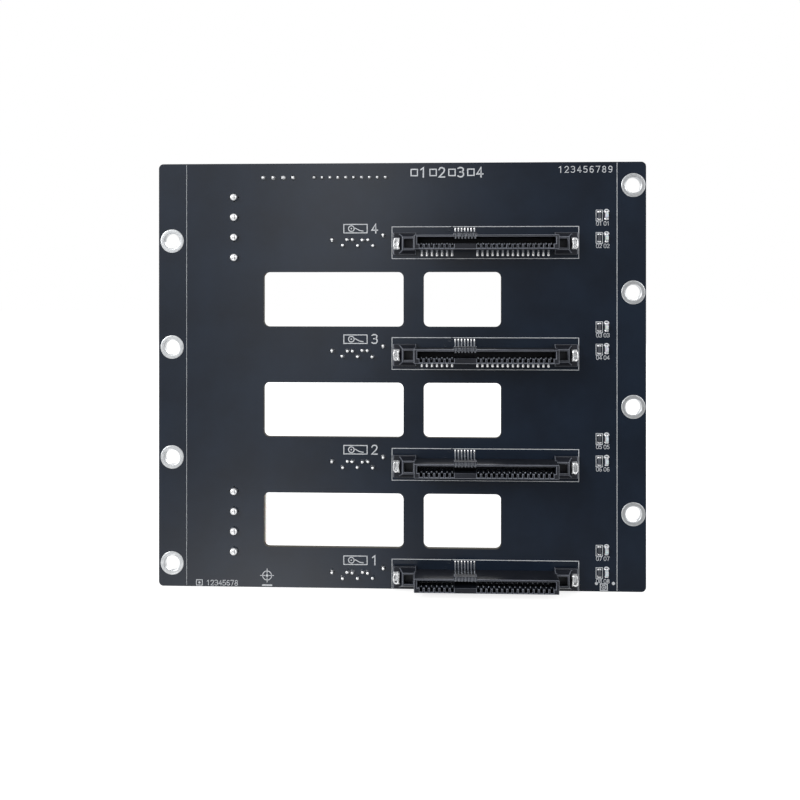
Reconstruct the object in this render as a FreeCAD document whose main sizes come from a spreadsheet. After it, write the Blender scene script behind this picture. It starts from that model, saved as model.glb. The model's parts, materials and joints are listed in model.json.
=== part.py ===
"""Four-bay drive backplane board, modelled as a parametric FreeCAD document in millimetres.

The board stands upright in the XZ plane. Drives plug in from the front, towards -Y, and the cables
from the rear, towards +Y. The origin is on the board's front face, midway between the two outer
screw holes of the left column. +X is to the right seen from the front and +Z is up.
"""
import FreeCAD, Part
import os
import re

import Sketcher

# Driving dimensions: millimetres, degrees or plain counts, one alias each.
SIZES = {
    # circuit board
    "board_width": 123.0,
    "board_height": 107.45,
    "board_thickness": 1.6,
    "board_corner_radius": 1.2,
    "left_margin": 3.41,
    "right_margin": 3.15,
    "bottom_margin": 5.85,
    "left_outer_spacing": 82.0,
    "left_inner_spacing": 28.0,
    "right_outer_spacing": 82.2,
    "right_inner_spacing": 28.6,
    "right_column_rise": 13.66,
    "screw_hole_diameter": 3.9,
    # drive bays, counted from the bottom
    "drive_count": 4,
    "drive_pitch": 27.94,
    "first_drive_rise": 3.71,
    # cooling windows between the drive rows
    "window_rise": 6.54,
    "window_height": 13.8,
    "window_corner_radius": 1.4,
    "wide_window_offset": 26.9,
    "wide_window_width": 35.5,
    "narrow_window_offset": 67.5,
    "narrow_window_width": 19.45,
    # drive socket: moulded housing
    "socket_margin": 40.1,
    "end_wall": 0.8,
    "shell_height": 8.5,
    "slot_overrun": 0.975,
    "slot_width": 1.7,
    "upper_wall": 0.5,
    "lower_wall": 1.31,
    "slot_floor": 1.5,
    "tail_gap": 0.5,
    "block_reach": 5.4,
    "block_above": 2.24,
    "block_below": 3.26,
    "block_base_height": 1.3,
    "post_height": 1.6,
    "post_inset": 0.35,
    "post_slope": 0.75,
    "recess_side": 2.3,
    "recess_depth": 1.9,
    "recess_inset": 0.35,
    # drive socket: spring contacts in the lower wall
    "contact_pitch": 1.27,
    "signal_count": 7,
    "power_count": 15,
    "signal_to_power": 6.35,
    "contact_width": 0.5,
    "contact_thickness": 0.22,
    "contact_foot_reach": 3.6,
    "contact_heel": 1.5,
    "contact_crown": 0.62,
    "contact_crown_height": 6.4,
    "contact_tip": 1.15,
    "contact_tip_height": 7.7,
    "cavity_width": 0.75,
    "cavity_depth": 0.98,
    "rib_height": 3.0,
    # drive socket: second port contacts over the upper wall
    "port_pitch": 0.8,
    "port_count": 7,
    "port_width": 0.36,
    "port_foot_reach": 3.5,
    "port_riser": 1.5,
    "port_recess": 1.2,
    "port_drop": 0.45,
    "port_notch_width": 0.46,
    "boss_base_width": 5.9,
    "boss_top_width": 5.5,
    "boss_rise": 0.65,
    "boss_height": 2.2,
    "notch_clearance": 0.1,
    # drive socket: metal clips that hold it on the board
    "clip_width": 2.75,
    "clip_foot": 1.6,
    "clip_thickness": 0.3,
    "clip_height": 2.2,
    "clip_clearance": 0.05,
    # data cable header on the rear
    "data_margin": 72.2,
    "data_row_drop": 0.95,
    "data_row_spacing": 1.44,
    "data_length": 16.4,
    "data_width": 5.0,
    "data_height": 8.6,
    "data_floor": 2.2,
    "data_wall": 0.8,
    "data_below_row": 1.55,
    "data_chamfer": 0.6,
    "tongue_length": 10.4,
    "tongue_thickness": 1.2,
    "tongue_hook": 1.0,
    "data_pin_width": 0.6,
    "data_pin_thickness": 0.3,
    "data_pin_height": 7.4,
    "data_well_side": 0.3,
    "tail_length": 0.9,
    "data_clip_reach": 6.45,
    "data_clip_width": 0.9,
    "data_clip_thickness": 0.35,
    "data_clip_rise": 1.15,
    # power cable header on the rear
    "power_offset": 19.33,
    "lower_power_rise": 16.7,
    "upper_power_drop": 16.15,
    "power_pitch": 5.08,
    "power_pin_count": 4,
    "power_length": 24.0,
    "power_width": 11.2,
    "power_height": 13.5,
    "power_wall": 1.3,
    "power_chamfer": 2.6,
    "power_floor": 4.0,
    "power_pin_diameter": 2.1,
    "power_pin_sides": 12,
    "power_pin_height": 10.5,
    "power_tail_side": 1.15,
    "power_tail_length": 1.1,
    # pin headers along the top edge, on the rear
    "top_row_drop": 3.6,
    "fan_offset": 26.8,
    "fan_pitch": 2.54,
    "fan_pin_count": 4,
    "fan_pin_side": 0.64,
    "fan_body_height": 2.5,
    "fan_pin_height": 8.5,
    "lamp_header_offset": 39.8,
    "lamp_header_pitch": 2.0,
    "lamp_header_pin_count": 10,
    "lamp_header_pin_side": 0.5,
    "lamp_header_body_height": 2.0,
    "lamp_header_pin_height": 6.0,
    "top_tail_length": 0.7,
    # drilled holes for solder tails
    "drill_sides": 4,
    "small_drill_clearance": 0.12,
    "power_drill_clearance": 0.15,
    # status lamps and their resistors
    "lamp_margin": 9.8,
    "resistor_margin": 11.6,
    "upper_lamp_rise": 6.5,
    "lower_lamp_rise": 0.9,
    "chip_length": 1.6,
    "chip_width": 0.8,
    "chip_height": 0.45,
    "lens_height": 0.4,
    "lens_length": 1.0,
    "lens_width": 0.8,
}

doc = FreeCAD.newDocument("DriveBackplane")
sheet = doc.addObject("Spreadsheet::Sheet", "Sizes")
for row, (alias, value) in enumerate(SIZES.items(), start=1):
    sheet.set(f"A{row}", alias)
    sheet.set(f"B{row}", str(value))
    sheet.setAlias(f"B{row}", alias)
doc.recompute()

PARTS = []

# Places that several pieces share, as expressions of the driving dimensions.
LEFT = "(-left_margin)"
RIGHT = "(board_width - left_margin)"
BOTTOM = "(-left_outer_spacing / 2 - bottom_margin)"
TOP = f"({BOTTOM} + board_height)"
FIRST_DRIVE = f"({BOTTOM} + first_drive_rise)"
SLOT = "(slot_width / 2)"
CONTACT_SPAN = (
    "((signal_count - 1) * contact_pitch + signal_to_power + (power_count - 1) * contact_pitch)"
)
SLOT_END = f"({CONTACT_SPAN} / 2 + slot_overrun)"
SHELL_END = f"({SLOT_END} + end_wall)"
BLOCK_END = f"({SHELL_END} + block_reach)"
FIRST_SIGNAL = f"(-{CONTACT_SPAN} / 2)"
LAST_SIGNAL = f"({FIRST_SIGNAL} + (signal_count - 1) * contact_pitch)"
FIRST_POWER = f"({LAST_SIGNAL} + signal_to_power)"
PORT_CENTRE = f"({LAST_SIGNAL} + signal_to_power / 2)"
FIRST_PORT = f"({PORT_CENTRE} - (port_count - 1) * port_pitch / 2)"
PORT_BRIDGE = "(shell_height - port_recess)"
SOCKET_CENTRE = f"({RIGHT} - socket_margin)"
DATA_CENTRE = f"({RIGHT} - data_margin)"


def bound(text):
    """The text with each alias, which always holds an underscore, pointed at the sheet."""
    return re.sub(r"[a-z]+_\w+", lambda word: "Sizes." + word.group(), str(text))


def worked(text):
    """The value of an expression of aliases, in millimetres or a count."""
    return float(sheet.evalExpression(bound(text)))


def drive_height(row):
    """Height of the slot's centre line of one drive row, the lowest being row 0."""
    return f"({FIRST_DRIVE} + {row} * drive_pitch)"


def keep(piece, label):
    """Name a piece and list it for export."""
    piece.Label = label
    PARTS.append(piece)
    return piece


def place(piece, x="0", y="0", z="0"):
    """Bind a piece's placement to the sheet."""
    for axis, text in zip("xyz", (x, y, z)):
        piece.setExpression(f".Placement.Base.{axis}", bound(text))


def new_body(label):
    return keep(doc.addObject("PartDesign::Body", label), label)


def origin_feature(body, role):
    return next(item for item in body.Origin.OriginFeatures if item.Role == role)


def new_sketch(body, plane="XZ_Plane", height="0"):
    """A sketch on one of the body's planes, raised by height along the plane's normal."""
    sketch = body.newObject("Sketcher::SketchObject", "Sketch")
    sketch.AttachmentSupport = (origin_feature(body, plane), [""])
    sketch.MapMode = "FlatFace"
    sketch.setExpression(".AttachmentOffset.Base.z", bound(height))
    return sketch


def pin_point(sketch, line, end, x, y):
    """Fix one end of a line at coordinates given as expressions."""
    for kind, text in (("DistanceX", x), ("DistanceY", y)):
        index = sketch.addConstraint(
            Sketcher.Constraint(kind, -1, 1, line, end, worked(text))
        )
        sketch.setExpression(f"Constraints[{index}]", bound(text))


def outline(sketch, points):
    """A closed outline of straight lines through points given as expressions."""
    spots = [FreeCAD.Vector(worked(x), worked(y), 0) for x, y in points]
    first = sketch.GeometryCount
    count = len(points)
    for index in range(count):
        sketch.addGeometry(Part.LineSegment(spots[index], spots[(index + 1) % count]))
    for index in range(count):
        following = first + (index + 1) % count
        sketch.addConstraint(Sketcher.Constraint("Coincident", first + index, 2, following, 1))
    for index, (x, y) in enumerate(points):
        pin_point(sketch, first + index, 1, x, y)


def rectangle(sketch, x0, x1, y0, y1):
    outline(sketch, [(x0, y0), (x1, y0), (x1, y1), (x0, y1)])


def rounded_rectangle(sketch, x0, x1, y0, y1, radius):
    """A closed rectangle with a quarter arc at each corner, drawn anticlockwise."""
    sides = [
        (f"{x0} + {radius}", y0, f"{x1} - {radius}", y0),
        (x1, f"{y0} + {radius}", x1, f"{y1} - {radius}"),
        (f"{x1} - {radius}", y1, f"{x0} + {radius}", y1),
        (x0, f"{y1} - {radius}", x0, f"{y0} + {radius}"),
    ]
    first = sketch.GeometryCount
    for xa, ya, xb, yb in sides:
        start = FreeCAD.Vector(worked(xa), worked(ya), 0)
        end = FreeCAD.Vector(worked(xb), worked(yb), 0)
        line = sketch.addGeometry(Part.LineSegment(start, end))
        pin_point(sketch, line, 1, xa, ya)
        pin_point(sketch, line, 2, xb, yb)
    centres = [
        (f"{x1} - {radius}", f"{y0} + {radius}"),
        (f"{x1} - {radius}", f"{y1} - {radius}"),
        (f"{x0} + {radius}", f"{y1} - {radius}"),
        (f"{x0} + {radius}", f"{y0} + {radius}"),
    ]
    for turn, (x, y) in enumerate(centres):
        circle = Part.Circle(
            FreeCAD.Vector(worked(x), worked(y), 0), FreeCAD.Vector(0, 0, 1), worked(radius)
        )
        quarter = FreeCAD.Units.Quantity("90 deg").getValueAs("rad").Value
        arc = sketch.addGeometry(
            Part.ArcOfCircle(circle, (turn - 1) * quarter, turn * quarter)
        )
        sketch.addConstraint(Sketcher.Constraint("Coincident", first + turn, 2, arc, 1))
        sketch.addConstraint(
            Sketcher.Constraint("Coincident", arc, 2, first + (turn + 1) % 4, 1)
        )
        index = sketch.addConstraint(Sketcher.Constraint("Radius", arc, worked(radius)))
        sketch.setExpression(f"Constraints[{index}]", bound(radius))


def circle(sketch, x, y, diameter):
    shape = Part.Circle(
        FreeCAD.Vector(worked(x), worked(y), 0), FreeCAD.Vector(0, 0, 1), worked(diameter) / 2
    )
    index = sketch.addGeometry(shape)
    size = sketch.addConstraint(Sketcher.Constraint("Diameter", index, worked(diameter)))
    sketch.setExpression(f"Constraints[{size}]", bound(diameter))
    pin_point(sketch, index, 3, x, y)


def pad(body, sketch, length, reverse=False, middle=False):
    """Add material along the sketch's normal, or against it when reversed."""
    feature = body.newObject("PartDesign::Pad", "Pad")
    feature.Profile = sketch
    feature.setExpression("Length", bound(length))
    feature.Reversed = reverse
    if middle:
        feature.SideType = "Symmetric"
    return feature


def pocket(body, sketch, depth, reverse=False):
    """Cut against the sketch's normal, or along it when reversed."""
    feature = body.newObject("PartDesign::Pocket", "Pocket")
    feature.Profile = sketch
    feature.setExpression("Length", bound(depth))
    feature.Reversed = reverse
    return feature


def repeat(body, features, axis, spacing, count):
    """Copies of features at an even spacing along one of the body's axes."""
    pattern = body.newObject("PartDesign::LinearPattern", "Row")
    pattern.Originals = features
    pattern.Direction = (origin_feature(body, axis), [""])
    pattern.setExpression("Length", bound(f"{spacing} * ({count} - 1)"))
    pattern.setExpression("Occurrences", bound(count))
    body.Tip = pattern
    return pattern


def copy_of(master, label, x, y, z):
    """A linked copy of a piece at its own place."""
    link = doc.addObject("App::Link", label)
    link.LinkedObject = master
    place(link, x, y, z)
    return keep(link, label)


# ---------------------------------------------------------------- circuit board
SCREW_COLUMNS = [
    ("0", "0", "left_outer_spacing", "left_inner_spacing"),
    (
        f"({RIGHT} - right_margin)",
        "right_column_rise",
        "right_outer_spacing",
        "right_inner_spacing",
    ),
]


def screw_places():
    """Centres of the eight screw holes, as expressions."""
    for x, middle, outer, inner in SCREW_COLUMNS:
        for spacing in (outer, inner):
            for side in ("-", "+"):
                yield x, f"{middle} {side} {spacing} / 2"


def window(body, offset, width):
    """One cooling window above each drive row but the highest."""
    sketch = new_sketch(body)
    lower = f"({FIRST_DRIVE} + window_rise)"
    rounded_rectangle(
        sketch,
        f"({LEFT} + {offset})",
        f"({LEFT} + {offset} + {width})",
        lower,
        f"({lower} + window_height)",
        "window_corner_radius",
    )
    cut = pocket(body, sketch, "board_thickness")
    repeat(body, [cut], "Z_Axis", "drive_pitch", "(drive_count - 1)")


def board_blank():
    body = doc.addObject("PartDesign::Body", "board_blank")
    sketch = new_sketch(body)
    rounded_rectangle(sketch, LEFT, RIGHT, BOTTOM, TOP, "board_corner_radius")
    body.Tip = pad(body, sketch, "board_thickness", reverse=True)
    window(body, "wide_window_offset", "wide_window_width")
    window(body, "narrow_window_offset", "narrow_window_width")
    holes = new_sketch(body)
    for x, z in screw_places():
        circle(holes, x, z, "screw_hole_diameter")
    body.Tip = pocket(body, holes, "board_thickness")
    return body


def drill(x, z, across):
    """A cutter for one tail hole: a prism that clears a tail measured corner to corner."""
    cutter = doc.addObject("Part::Prism", "Drill")
    cutter.setExpression("Polygon", bound("drill_sides"))
    cutter.setExpression("Circumradius", bound(f"{across} / 2 / cos(180 / drill_sides)"))
    cutter.setExpression("Height", bound("board_thickness"))
    cutter.Placement.Rotation = FreeCAD.Rotation(FreeCAD.Vector(1, 0, 0), -90)
    place(cutter, x, "0", z)
    return cutter


def board():
    drills = [drill(*spot) for spot in data_tail_places()]
    drills += [drill(*spot) for spot in power_tail_places()]
    drills += [drill(*spot) for spot in top_tail_places()]
    cutters = doc.addObject("Part::Compound", "tail_drills")
    cutters.Links = drills
    cut = doc.addObject("Part::Cut", "board")
    cut.Base = board_blank()
    cut.Tool = cutters
    keep(cut, "board")


# ---------------------------------------------------------------- drive socket
def end_rectangles(sketch, inner, outer, lower, upper):
    """The same rectangle at both ends of the socket."""
    rectangle(sketch, f"(-{outer})", f"(-{inner})", lower, upper)
    rectangle(sketch, inner, outer, lower, upper)


def tapered_post(body, side, inner, outer):
    """Guide post on an end block: a wedge that narrows towards the drive."""
    ends = {
        "Xmin": f"{inner} - post_inset",
        "Xmax": f"{outer} - post_slope",
        "X2min": f"{inner} - post_inset",
        "X2max": outer,
    }
    if side < 0:
        swap = {"Xmin": "Xmax", "Xmax": "Xmin", "X2min": "X2max", "X2max": "X2min"}
        ends = {swap[name]: f"-({text})" for name, text in ends.items()}
    wedge = body.newObject("PartDesign::AdditiveWedge", "Post")
    sizes = {
        **ends,
        "Ymin": "-block_base_height - post_height",
        "Ymax": "-block_base_height",
        "Zmin": "-block_below + post_inset + post_slope",
        "Zmax": "block_above - post_inset - post_slope",
        "Z2min": "-block_below + post_inset",
        "Z2max": "block_above - post_inset",
    }
    for name, text in sizes.items():
        wedge.setExpression(name, bound(text))


def socket_housing(body):
    """Long shell with a blade slot, on two end blocks with tapered posts."""
    sketch = new_sketch(body)
    end_rectangles(sketch, f"({SHELL_END} - post_inset)", BLOCK_END, "-block_below", "block_above")
    pad(body, sketch, "block_base_height")

    for side in (-1, 1):
        tapered_post(body, side, SHELL_END, f"({BLOCK_END} - clip_foot)")

    shell_lower = f"(-{SLOT} - lower_wall)"
    shell_upper = f"({SLOT} + upper_wall)"
    sketch = new_sketch(body)
    rectangle(sketch, f"(-{SHELL_END})", SHELL_END, shell_lower, shell_upper)
    pad(body, sketch, "shell_height")

    sketch = new_sketch(body, height="shell_height")
    outline(
        sketch,
        [
            (f"{PORT_CENTRE} - boss_base_width / 2", shell_upper),
            (f"{PORT_CENTRE} + boss_base_width / 2", shell_upper),
            (f"{PORT_CENTRE} + boss_top_width / 2", f"{shell_upper} + boss_rise"),
            (f"{PORT_CENTRE} - boss_top_width / 2", f"{shell_upper} + boss_rise"),
        ],
    )
    pad(body, sketch, "boss_height", reverse=True)

    sketch = new_sketch(body, height="shell_height")
    rectangle(sketch, f"-{SLOT_END}", SLOT_END, f"(-{SLOT})", SLOT)
    pocket(body, sketch, "shell_height - slot_floor")

    sketch = new_sketch(body, height="block_base_height + post_height")
    middle = "((block_above - block_below) / 2)"
    end_rectangles(
        sketch,
        f"({SHELL_END} + recess_inset)",
        f"({SHELL_END} + recess_inset + recess_side)",
        f"{middle} - recess_side / 2",
        f"{middle} + recess_side / 2",
    )
    pocket(body, sketch, "recess_depth")

    sketch = new_sketch(body)
    clip_half = "(clip_width / 2 + clip_clearance)"
    end_rectangles(
        sketch,
        f"({BLOCK_END} - clip_foot)",
        f"({BLOCK_END} + clip_clearance)",
        f"{middle} - {clip_half}",
        f"{middle} + {clip_half}",
    )
    pocket(body, sketch, "block_base_height", reverse=True)

    sketch = new_sketch(body)
    rectangle(sketch, f"-{SLOT_END}", SLOT_END, shell_lower, f"(-{SLOT})")
    pocket(body, sketch, "tail_gap", reverse=True)

    for first, count in ((FIRST_SIGNAL, "signal_count"), (FIRST_POWER, "power_count")):
        contact_cavities(body, first, count)

    sketch = new_sketch(body, height="shell_height")
    rectangle(
        sketch,
        f"{FIRST_PORT} - port_notch_width / 2",
        f"{FIRST_PORT} + port_notch_width / 2",
        SLOT,
        "port_riser + contact_thickness + notch_clearance",
    )
    cut = pocket(body, sketch, "boss_height")
    repeat(body, [cut], "X_Axis", "port_pitch", "port_count")


def contact_cavities(body, first, count):
    """A well behind the slot for one group of contacts, with a rib between each two at the rim."""
    deep, near = f"-{SLOT} - cavity_depth", f"-{SLOT}"
    left = f"({first} - cavity_width / 2)"
    right = f"({first} + cavity_width / 2)"
    sketch = new_sketch(body)
    rectangle(sketch, left, f"{right} + ({count} - 1) * contact_pitch", deep, near)
    pocket(body, sketch, "shell_height - rib_height", reverse=True)
    sketch = new_sketch(body, height="shell_height")
    rectangle(sketch, left, right, deep, near)
    cut = pocket(body, sketch, "rib_height")
    repeat(body, [cut], "X_Axis", "contact_pitch", count)


def row_of_contacts(body, profile, first, width, spacing, count):
    """A bent strip, drawn in the YZ plane, as wide as stated and repeated along X."""
    sketch = new_sketch(body, "YZ_Plane", first)
    outline(sketch, profile)
    strip = pad(body, sketch, width, middle=True)
    repeat(body, [strip], "X_Axis", spacing, count)


def spring_contact():
    """A beam leaning into the slot, with a coined lead-in at its tip and a coined foot."""
    return [
        ("0", "-contact_foot_reach"),
        ("0", "-contact_heel + contact_thickness"),
        ("-contact_crown_height", "-contact_crown"),
        ("-contact_tip_height", "-contact_tip"),
        ("-contact_crown_height", "-contact_crown - contact_thickness"),
        ("-contact_thickness", "-contact_heel"),
    ]


def port_contact():
    """A coined foot, a riser outside the upper wall, and a hook over it into the slot."""
    return [
        ("0", "port_foot_reach"),
        ("0", "port_riser"),
        (f"-{PORT_BRIDGE} + contact_thickness", "port_riser"),
        (f"-{PORT_BRIDGE}", "port_drop"),
        (f"-{PORT_BRIDGE}", "port_riser + contact_thickness"),
        ("-contact_thickness", "port_riser + contact_thickness"),
    ]


def signal_contacts(body):
    row_of_contacts(
        body, spring_contact(), FIRST_SIGNAL, "contact_width", "contact_pitch", "signal_count"
    )


def power_contacts(body):
    row_of_contacts(
        body, spring_contact(), FIRST_POWER, "contact_width", "contact_pitch", "power_count"
    )


def port_contacts(body):
    row_of_contacts(body, port_contact(), FIRST_PORT, "port_width", "port_pitch", "port_count")


def socket_clips(body):
    """Bent metal tab at each end: a foot on the board and a riser against the block."""
    inner = f"({BLOCK_END} - clip_foot)"
    middle = "((block_above - block_below) / 2)"
    low = f"({middle} - clip_width / 2)"
    high = f"({middle} + clip_width / 2)"
    sketch = new_sketch(body)
    end_rectangles(sketch, inner, BLOCK_END, low, high)
    pad(body, sketch, "clip_thickness")
    sketch = new_sketch(body)
    end_rectangles(sketch, inner, f"({inner} + clip_thickness)", low, high)
    body.Tip = pad(body, sketch, "clip_height")


SOCKET_PIECES = {
    "socket_housing": socket_housing,
    "signal_contacts": signal_contacts,
    "power_contacts": power_contacts,
    "port_contacts": port_contacts,
    "socket_clips": socket_clips,
}


# ---------------------------------------------------------------- data cable header
def data_housing(body):
    """Shroud with a hooked tongue for the cable's plug."""
    half = "(data_length / 2)"
    low = "(-data_below_row)"
    high = "(data_width - data_below_row)"
    chamfer = "data_chamfer"
    sketch = new_sketch(body)
    outline(
        sketch,
        [
            (f"-{half} + {chamfer}", low),
            (f"{half} - {chamfer}", low),
            (half, f"{low} + {chamfer}"),
            (half, high),
            (f"-{half}", high),
            (f"-{half}", f"{low} + {chamfer}"),
        ],
    )
    pad(body, sketch, "data_height", reverse=True)

    sketch = new_sketch(body, height="-data_height")
    tongue_low = "(data_pin_thickness / 2)"
    tongue_high = f"({tongue_low} + tongue_thickness)"
    left = "(-tongue_length / 2)"
    right = "(tongue_length / 2)"
    rectangle(
        sketch,
        f"-{half} + data_wall",
        f"{half} - data_wall",
        f"{low} + data_wall",
        f"{high} - data_wall",
    )
    outline(
        sketch,
        [
            (left, tongue_low),
            (right, tongue_low),
            (right, f"{tongue_high} + tongue_hook"),
            (f"{right} - tongue_thickness", f"{tongue_high} + tongue_hook"),
            (f"{right} - tongue_thickness", tongue_high),
            (left, tongue_high),
        ],
    )
    pocket(body, sketch, "data_height - data_floor", reverse=True)

    sketch = new_sketch(body)
    reach = "(3 * contact_pitch + data_pin_width / 2 + data_well_side)"
    rectangle(
        sketch,
        f"-{reach}",
        reach,
        "-data_pin_thickness / 2",
        "data_row_spacing + data_pin_thickness / 2",
    )
    body.Tip = pocket(body, sketch, "data_floor")


def data_pins(body):
    """Seven flat pins; the first, fourth and last stay in the lower row of tails."""
    half = "(data_pin_thickness / 2)"
    front = "(-board_thickness - tail_length)"
    straight = [
        (front, f"-{half}"),
        ("data_pin_height", f"-{half}"),
        ("data_pin_height", half),
        (front, half),
    ]
    jog = "(data_floor / 2)"
    upper = "data_row_spacing"
    stepped = [
        (front, f"{upper} - {half}"),
        (f"{jog} - {half}", f"{upper} - {half}"),
        (f"{jog} - {half}", f"-{half}"),
        ("data_pin_height", f"-{half}"),
        ("data_pin_height", half),
        (f"{jog} + {half}", half),
        (f"{jog} + {half}", f"{upper} + {half}"),
        (front, f"{upper} + {half}"),
    ]
    rows = [
        (straight, "(-3 * contact_pitch)", "(3 * contact_pitch)", 3),
        (stepped, "(-2 * contact_pitch)", "contact_pitch", 2),
        (stepped, "contact_pitch", "contact_pitch", 2),
    ]
    for profile, first, spacing, count in rows:
        row_of_contacts(body, profile, first, "data_pin_width", spacing, count)


def data_clips(body):
    """Flat metal board lock at each end of the header."""
    sketch = new_sketch(body, height="board_thickness + tail_length")
    for side, rise in (("-", "0"), ("+", "data_clip_rise")):
        x = f"({side}data_clip_reach)"
        z = f"(data_row_spacing + {rise})"
        rectangle(
            sketch,
            f"{x} - data_clip_thickness / 2",
            f"{x} + data_clip_thickness / 2",
            f"{z} - data_clip_width / 2",
            f"{z} + data_clip_width / 2",
        )
    pad(body, sketch, "board_thickness + tail_length", reverse=True)


DATA_PIECES = {
    "data_header_housing": data_housing,
    "data_header_pins": data_pins,
    "data_header_clips": data_clips,
}


def data_height(row):
    """Height of the lower row of tails of one data header."""
    return f"({drive_height(row)} - data_row_drop)"


def data_tail_places():
    """Centre and size across of each hole for a data header's tails and clips."""
    x0 = DATA_CENTRE
    pin = "(data_pin_width + small_drill_clearance)"
    clip = "(data_clip_width + small_drill_clearance)"
    for row in range(int(worked("drive_count"))):
        z0 = data_height(row)
        for place_in_row in range(-3, 4):
            rise = "0" if place_in_row in (-3, 0, 3) else "data_row_spacing"
            yield f"{x0} + {place_in_row} * contact_pitch", f"{z0} + {rise}", pin
        yield f"{x0} - data_clip_reach", f"{z0} + data_row_spacing", clip
        yield f"{x0} + data_clip_reach", f"{z0} + data_row_spacing + data_clip_rise", clip


# ---------------------------------------------------------------- power cable header
FIRST_POWER_PIN = "(-(power_pin_count - 1) * power_pitch / 2)"


def chamfered_box(sketch, half_width, half_length, chamfer):
    """A rectangle with the two corners on its -X side cut off."""
    outline(
        sketch,
        [
            (half_width, f"-{half_length}"),
            (half_width, half_length),
            (f"-{half_width} + {chamfer}", half_length),
            (f"-{half_width}", f"{half_length} - {chamfer}"),
            (f"-{half_width}", f"-{half_length} + {chamfer}"),
            (f"-{half_width} + {chamfer}", f"-{half_length}"),
        ],
    )


def power_housing(body):
    """Deep shroud with two cut corners that key the plug."""
    sketch = new_sketch(body)
    chamfered_box(sketch, "(power_width / 2)", "(power_length / 2)", "power_chamfer")
    pad(body, sketch, "power_height", reverse=True)
    sketch = new_sketch(body, height="-power_height")
    chamfered_box(
        sketch,
        "(power_width / 2 - power_wall)",
        "(power_length / 2 - power_wall)",
        "(power_chamfer - power_wall / 2)",
    )
    pocket(body, sketch, "power_height - power_floor", reverse=True)
    sketch = new_sketch(body)
    half = "(power_tail_side / 2)"
    rectangle(
        sketch, f"-{half}", half, f"{FIRST_POWER_PIN} - {half}", f"{FIRST_POWER_PIN} + {half}"
    )
    cut = pocket(body, sketch, "power_floor")
    repeat(body, [cut], "Z_Axis", "power_pitch", "power_pin_count")


def power_pins(body):
    """Round pins that stand on the shroud's floor, with square solder tails."""
    sketch = new_sketch(body, height="-power_floor")
    radius = "(power_pin_diameter / 2)"
    turn = "(360 / power_pin_sides)"
    outline(
        sketch,
        [
            (
                f"{radius} * cos({turn} * {corner})",
                f"{FIRST_POWER_PIN} + {radius} * sin({turn} * {corner})",
            )
            for corner in range(int(worked("power_pin_sides")))
        ],
    )
    shaft = pad(body, sketch, "power_pin_height - power_floor", reverse=True)
    sketch = new_sketch(body, height="board_thickness + power_tail_length")
    half = "(power_tail_side / 2)"
    rectangle(
        sketch, f"-{half}", half, f"{FIRST_POWER_PIN} - {half}", f"{FIRST_POWER_PIN} + {half}"
    )
    tail = pad(body, sketch, "board_thickness + power_tail_length + power_floor", reverse=True)
    repeat(body, [shaft, tail], "Z_Axis", "power_pitch", "power_pin_count")


POWER_PIECES = {"power_header_housing": power_housing, "power_header_pins": power_pins}
POWER_PLACES = {
    "lower": f"({BOTTOM} + lower_power_rise)",
    "upper": f"({TOP} - upper_power_drop)",
}


def power_tail_places():
    """Centre and size across of each hole for a power header's tails."""
    across = "(power_tail_side * sqrt(2) + power_drill_clearance)"
    for middle in POWER_PLACES.values():
        for pin in range(int(worked("power_pin_count"))):
            yield f"{LEFT} + power_offset", f"{middle} + {FIRST_POWER_PIN} + {pin} * power_pitch", across


# ---------------------------------------------------------------- pin headers at the top edge
TOP_HEADERS = {
    "fan_header": "fan",
    "lamp_header": "lamp_header",
}
TOP_ROW = f"({TOP} - top_row_drop)"


def top_body(body, kind):
    """Plastic strip with a square hole for each pin."""
    pitch, count, side = f"{kind}_pitch", f"{kind}_pin_count", f"({kind}_pin_side / 2)"
    sketch = new_sketch(body)
    rectangle(
        sketch, f"-{pitch} / 2", f"({count} - 0.5) * {pitch}", f"-{pitch} / 2", f"{pitch} / 2"
    )
    pad(body, sketch, f"{kind}_body_height", reverse=True)
    sketch = new_sketch(body)
    rectangle(sketch, f"-{side}", side, f"-{side}", side)
    cut = pocket(body, sketch, f"{kind}_body_height")
    repeat(body, [cut], "X_Axis", pitch, count)


def top_pins(body, kind):
    """Square pins through the strip and the board."""
    pitch, count, side = f"{kind}_pitch", f"{kind}_pin_count", f"({kind}_pin_side / 2)"
    sketch = new_sketch(body, height="board_thickness + top_tail_length")
    rectangle(sketch, f"-{side}", side, f"-{side}", side)
    pin = pad(
        body, sketch, f"board_thickness + top_tail_length + {kind}_pin_height", reverse=True
    )
    repeat(body, [pin], "X_Axis", pitch, count)


def top_tail_places():
    """Centre and size across of each hole along the top edge."""
    for kind in TOP_HEADERS.values():
        across = f"({kind}_pin_side * sqrt(2) + small_drill_clearance)"
        for pin in range(int(worked(f"{kind}_pin_count"))):
            yield f"{LEFT} + {kind}_offset + {pin} * {kind}_pitch", TOP_ROW, across


# ---------------------------------------------------------------- status lamps
def chips(label, margin, length, width, base, height):
    """A node of equal small blocks: two beside each drive row."""
    body = new_body(label)
    sketch = new_sketch(body, height=base)
    for rise in ("lower_lamp_rise", "upper_lamp_rise"):
        middle = f"({FIRST_DRIVE} + {rise})"
        rectangle(
            sketch,
            f"{RIGHT} - {margin} - {width} / 2",
            f"{RIGHT} - {margin} + {width} / 2",
            f"{middle} - {length} / 2",
            f"{middle} + {length} / 2",
        )
    block = pad(body, sketch, height)
    repeat(body, [block], "Z_Axis", "drive_pitch", "drive_count")


def status_lamps():
    chips("lamp_bases", "lamp_margin", "chip_length", "chip_width", "0", "chip_height")
    chips(
        "lamp_lenses", "lamp_margin", "lens_length", "lens_width", "chip_height", "lens_height"
    )
    chips("resistors", "resistor_margin", "chip_length", "chip_width", "0", "chip_height")


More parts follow.
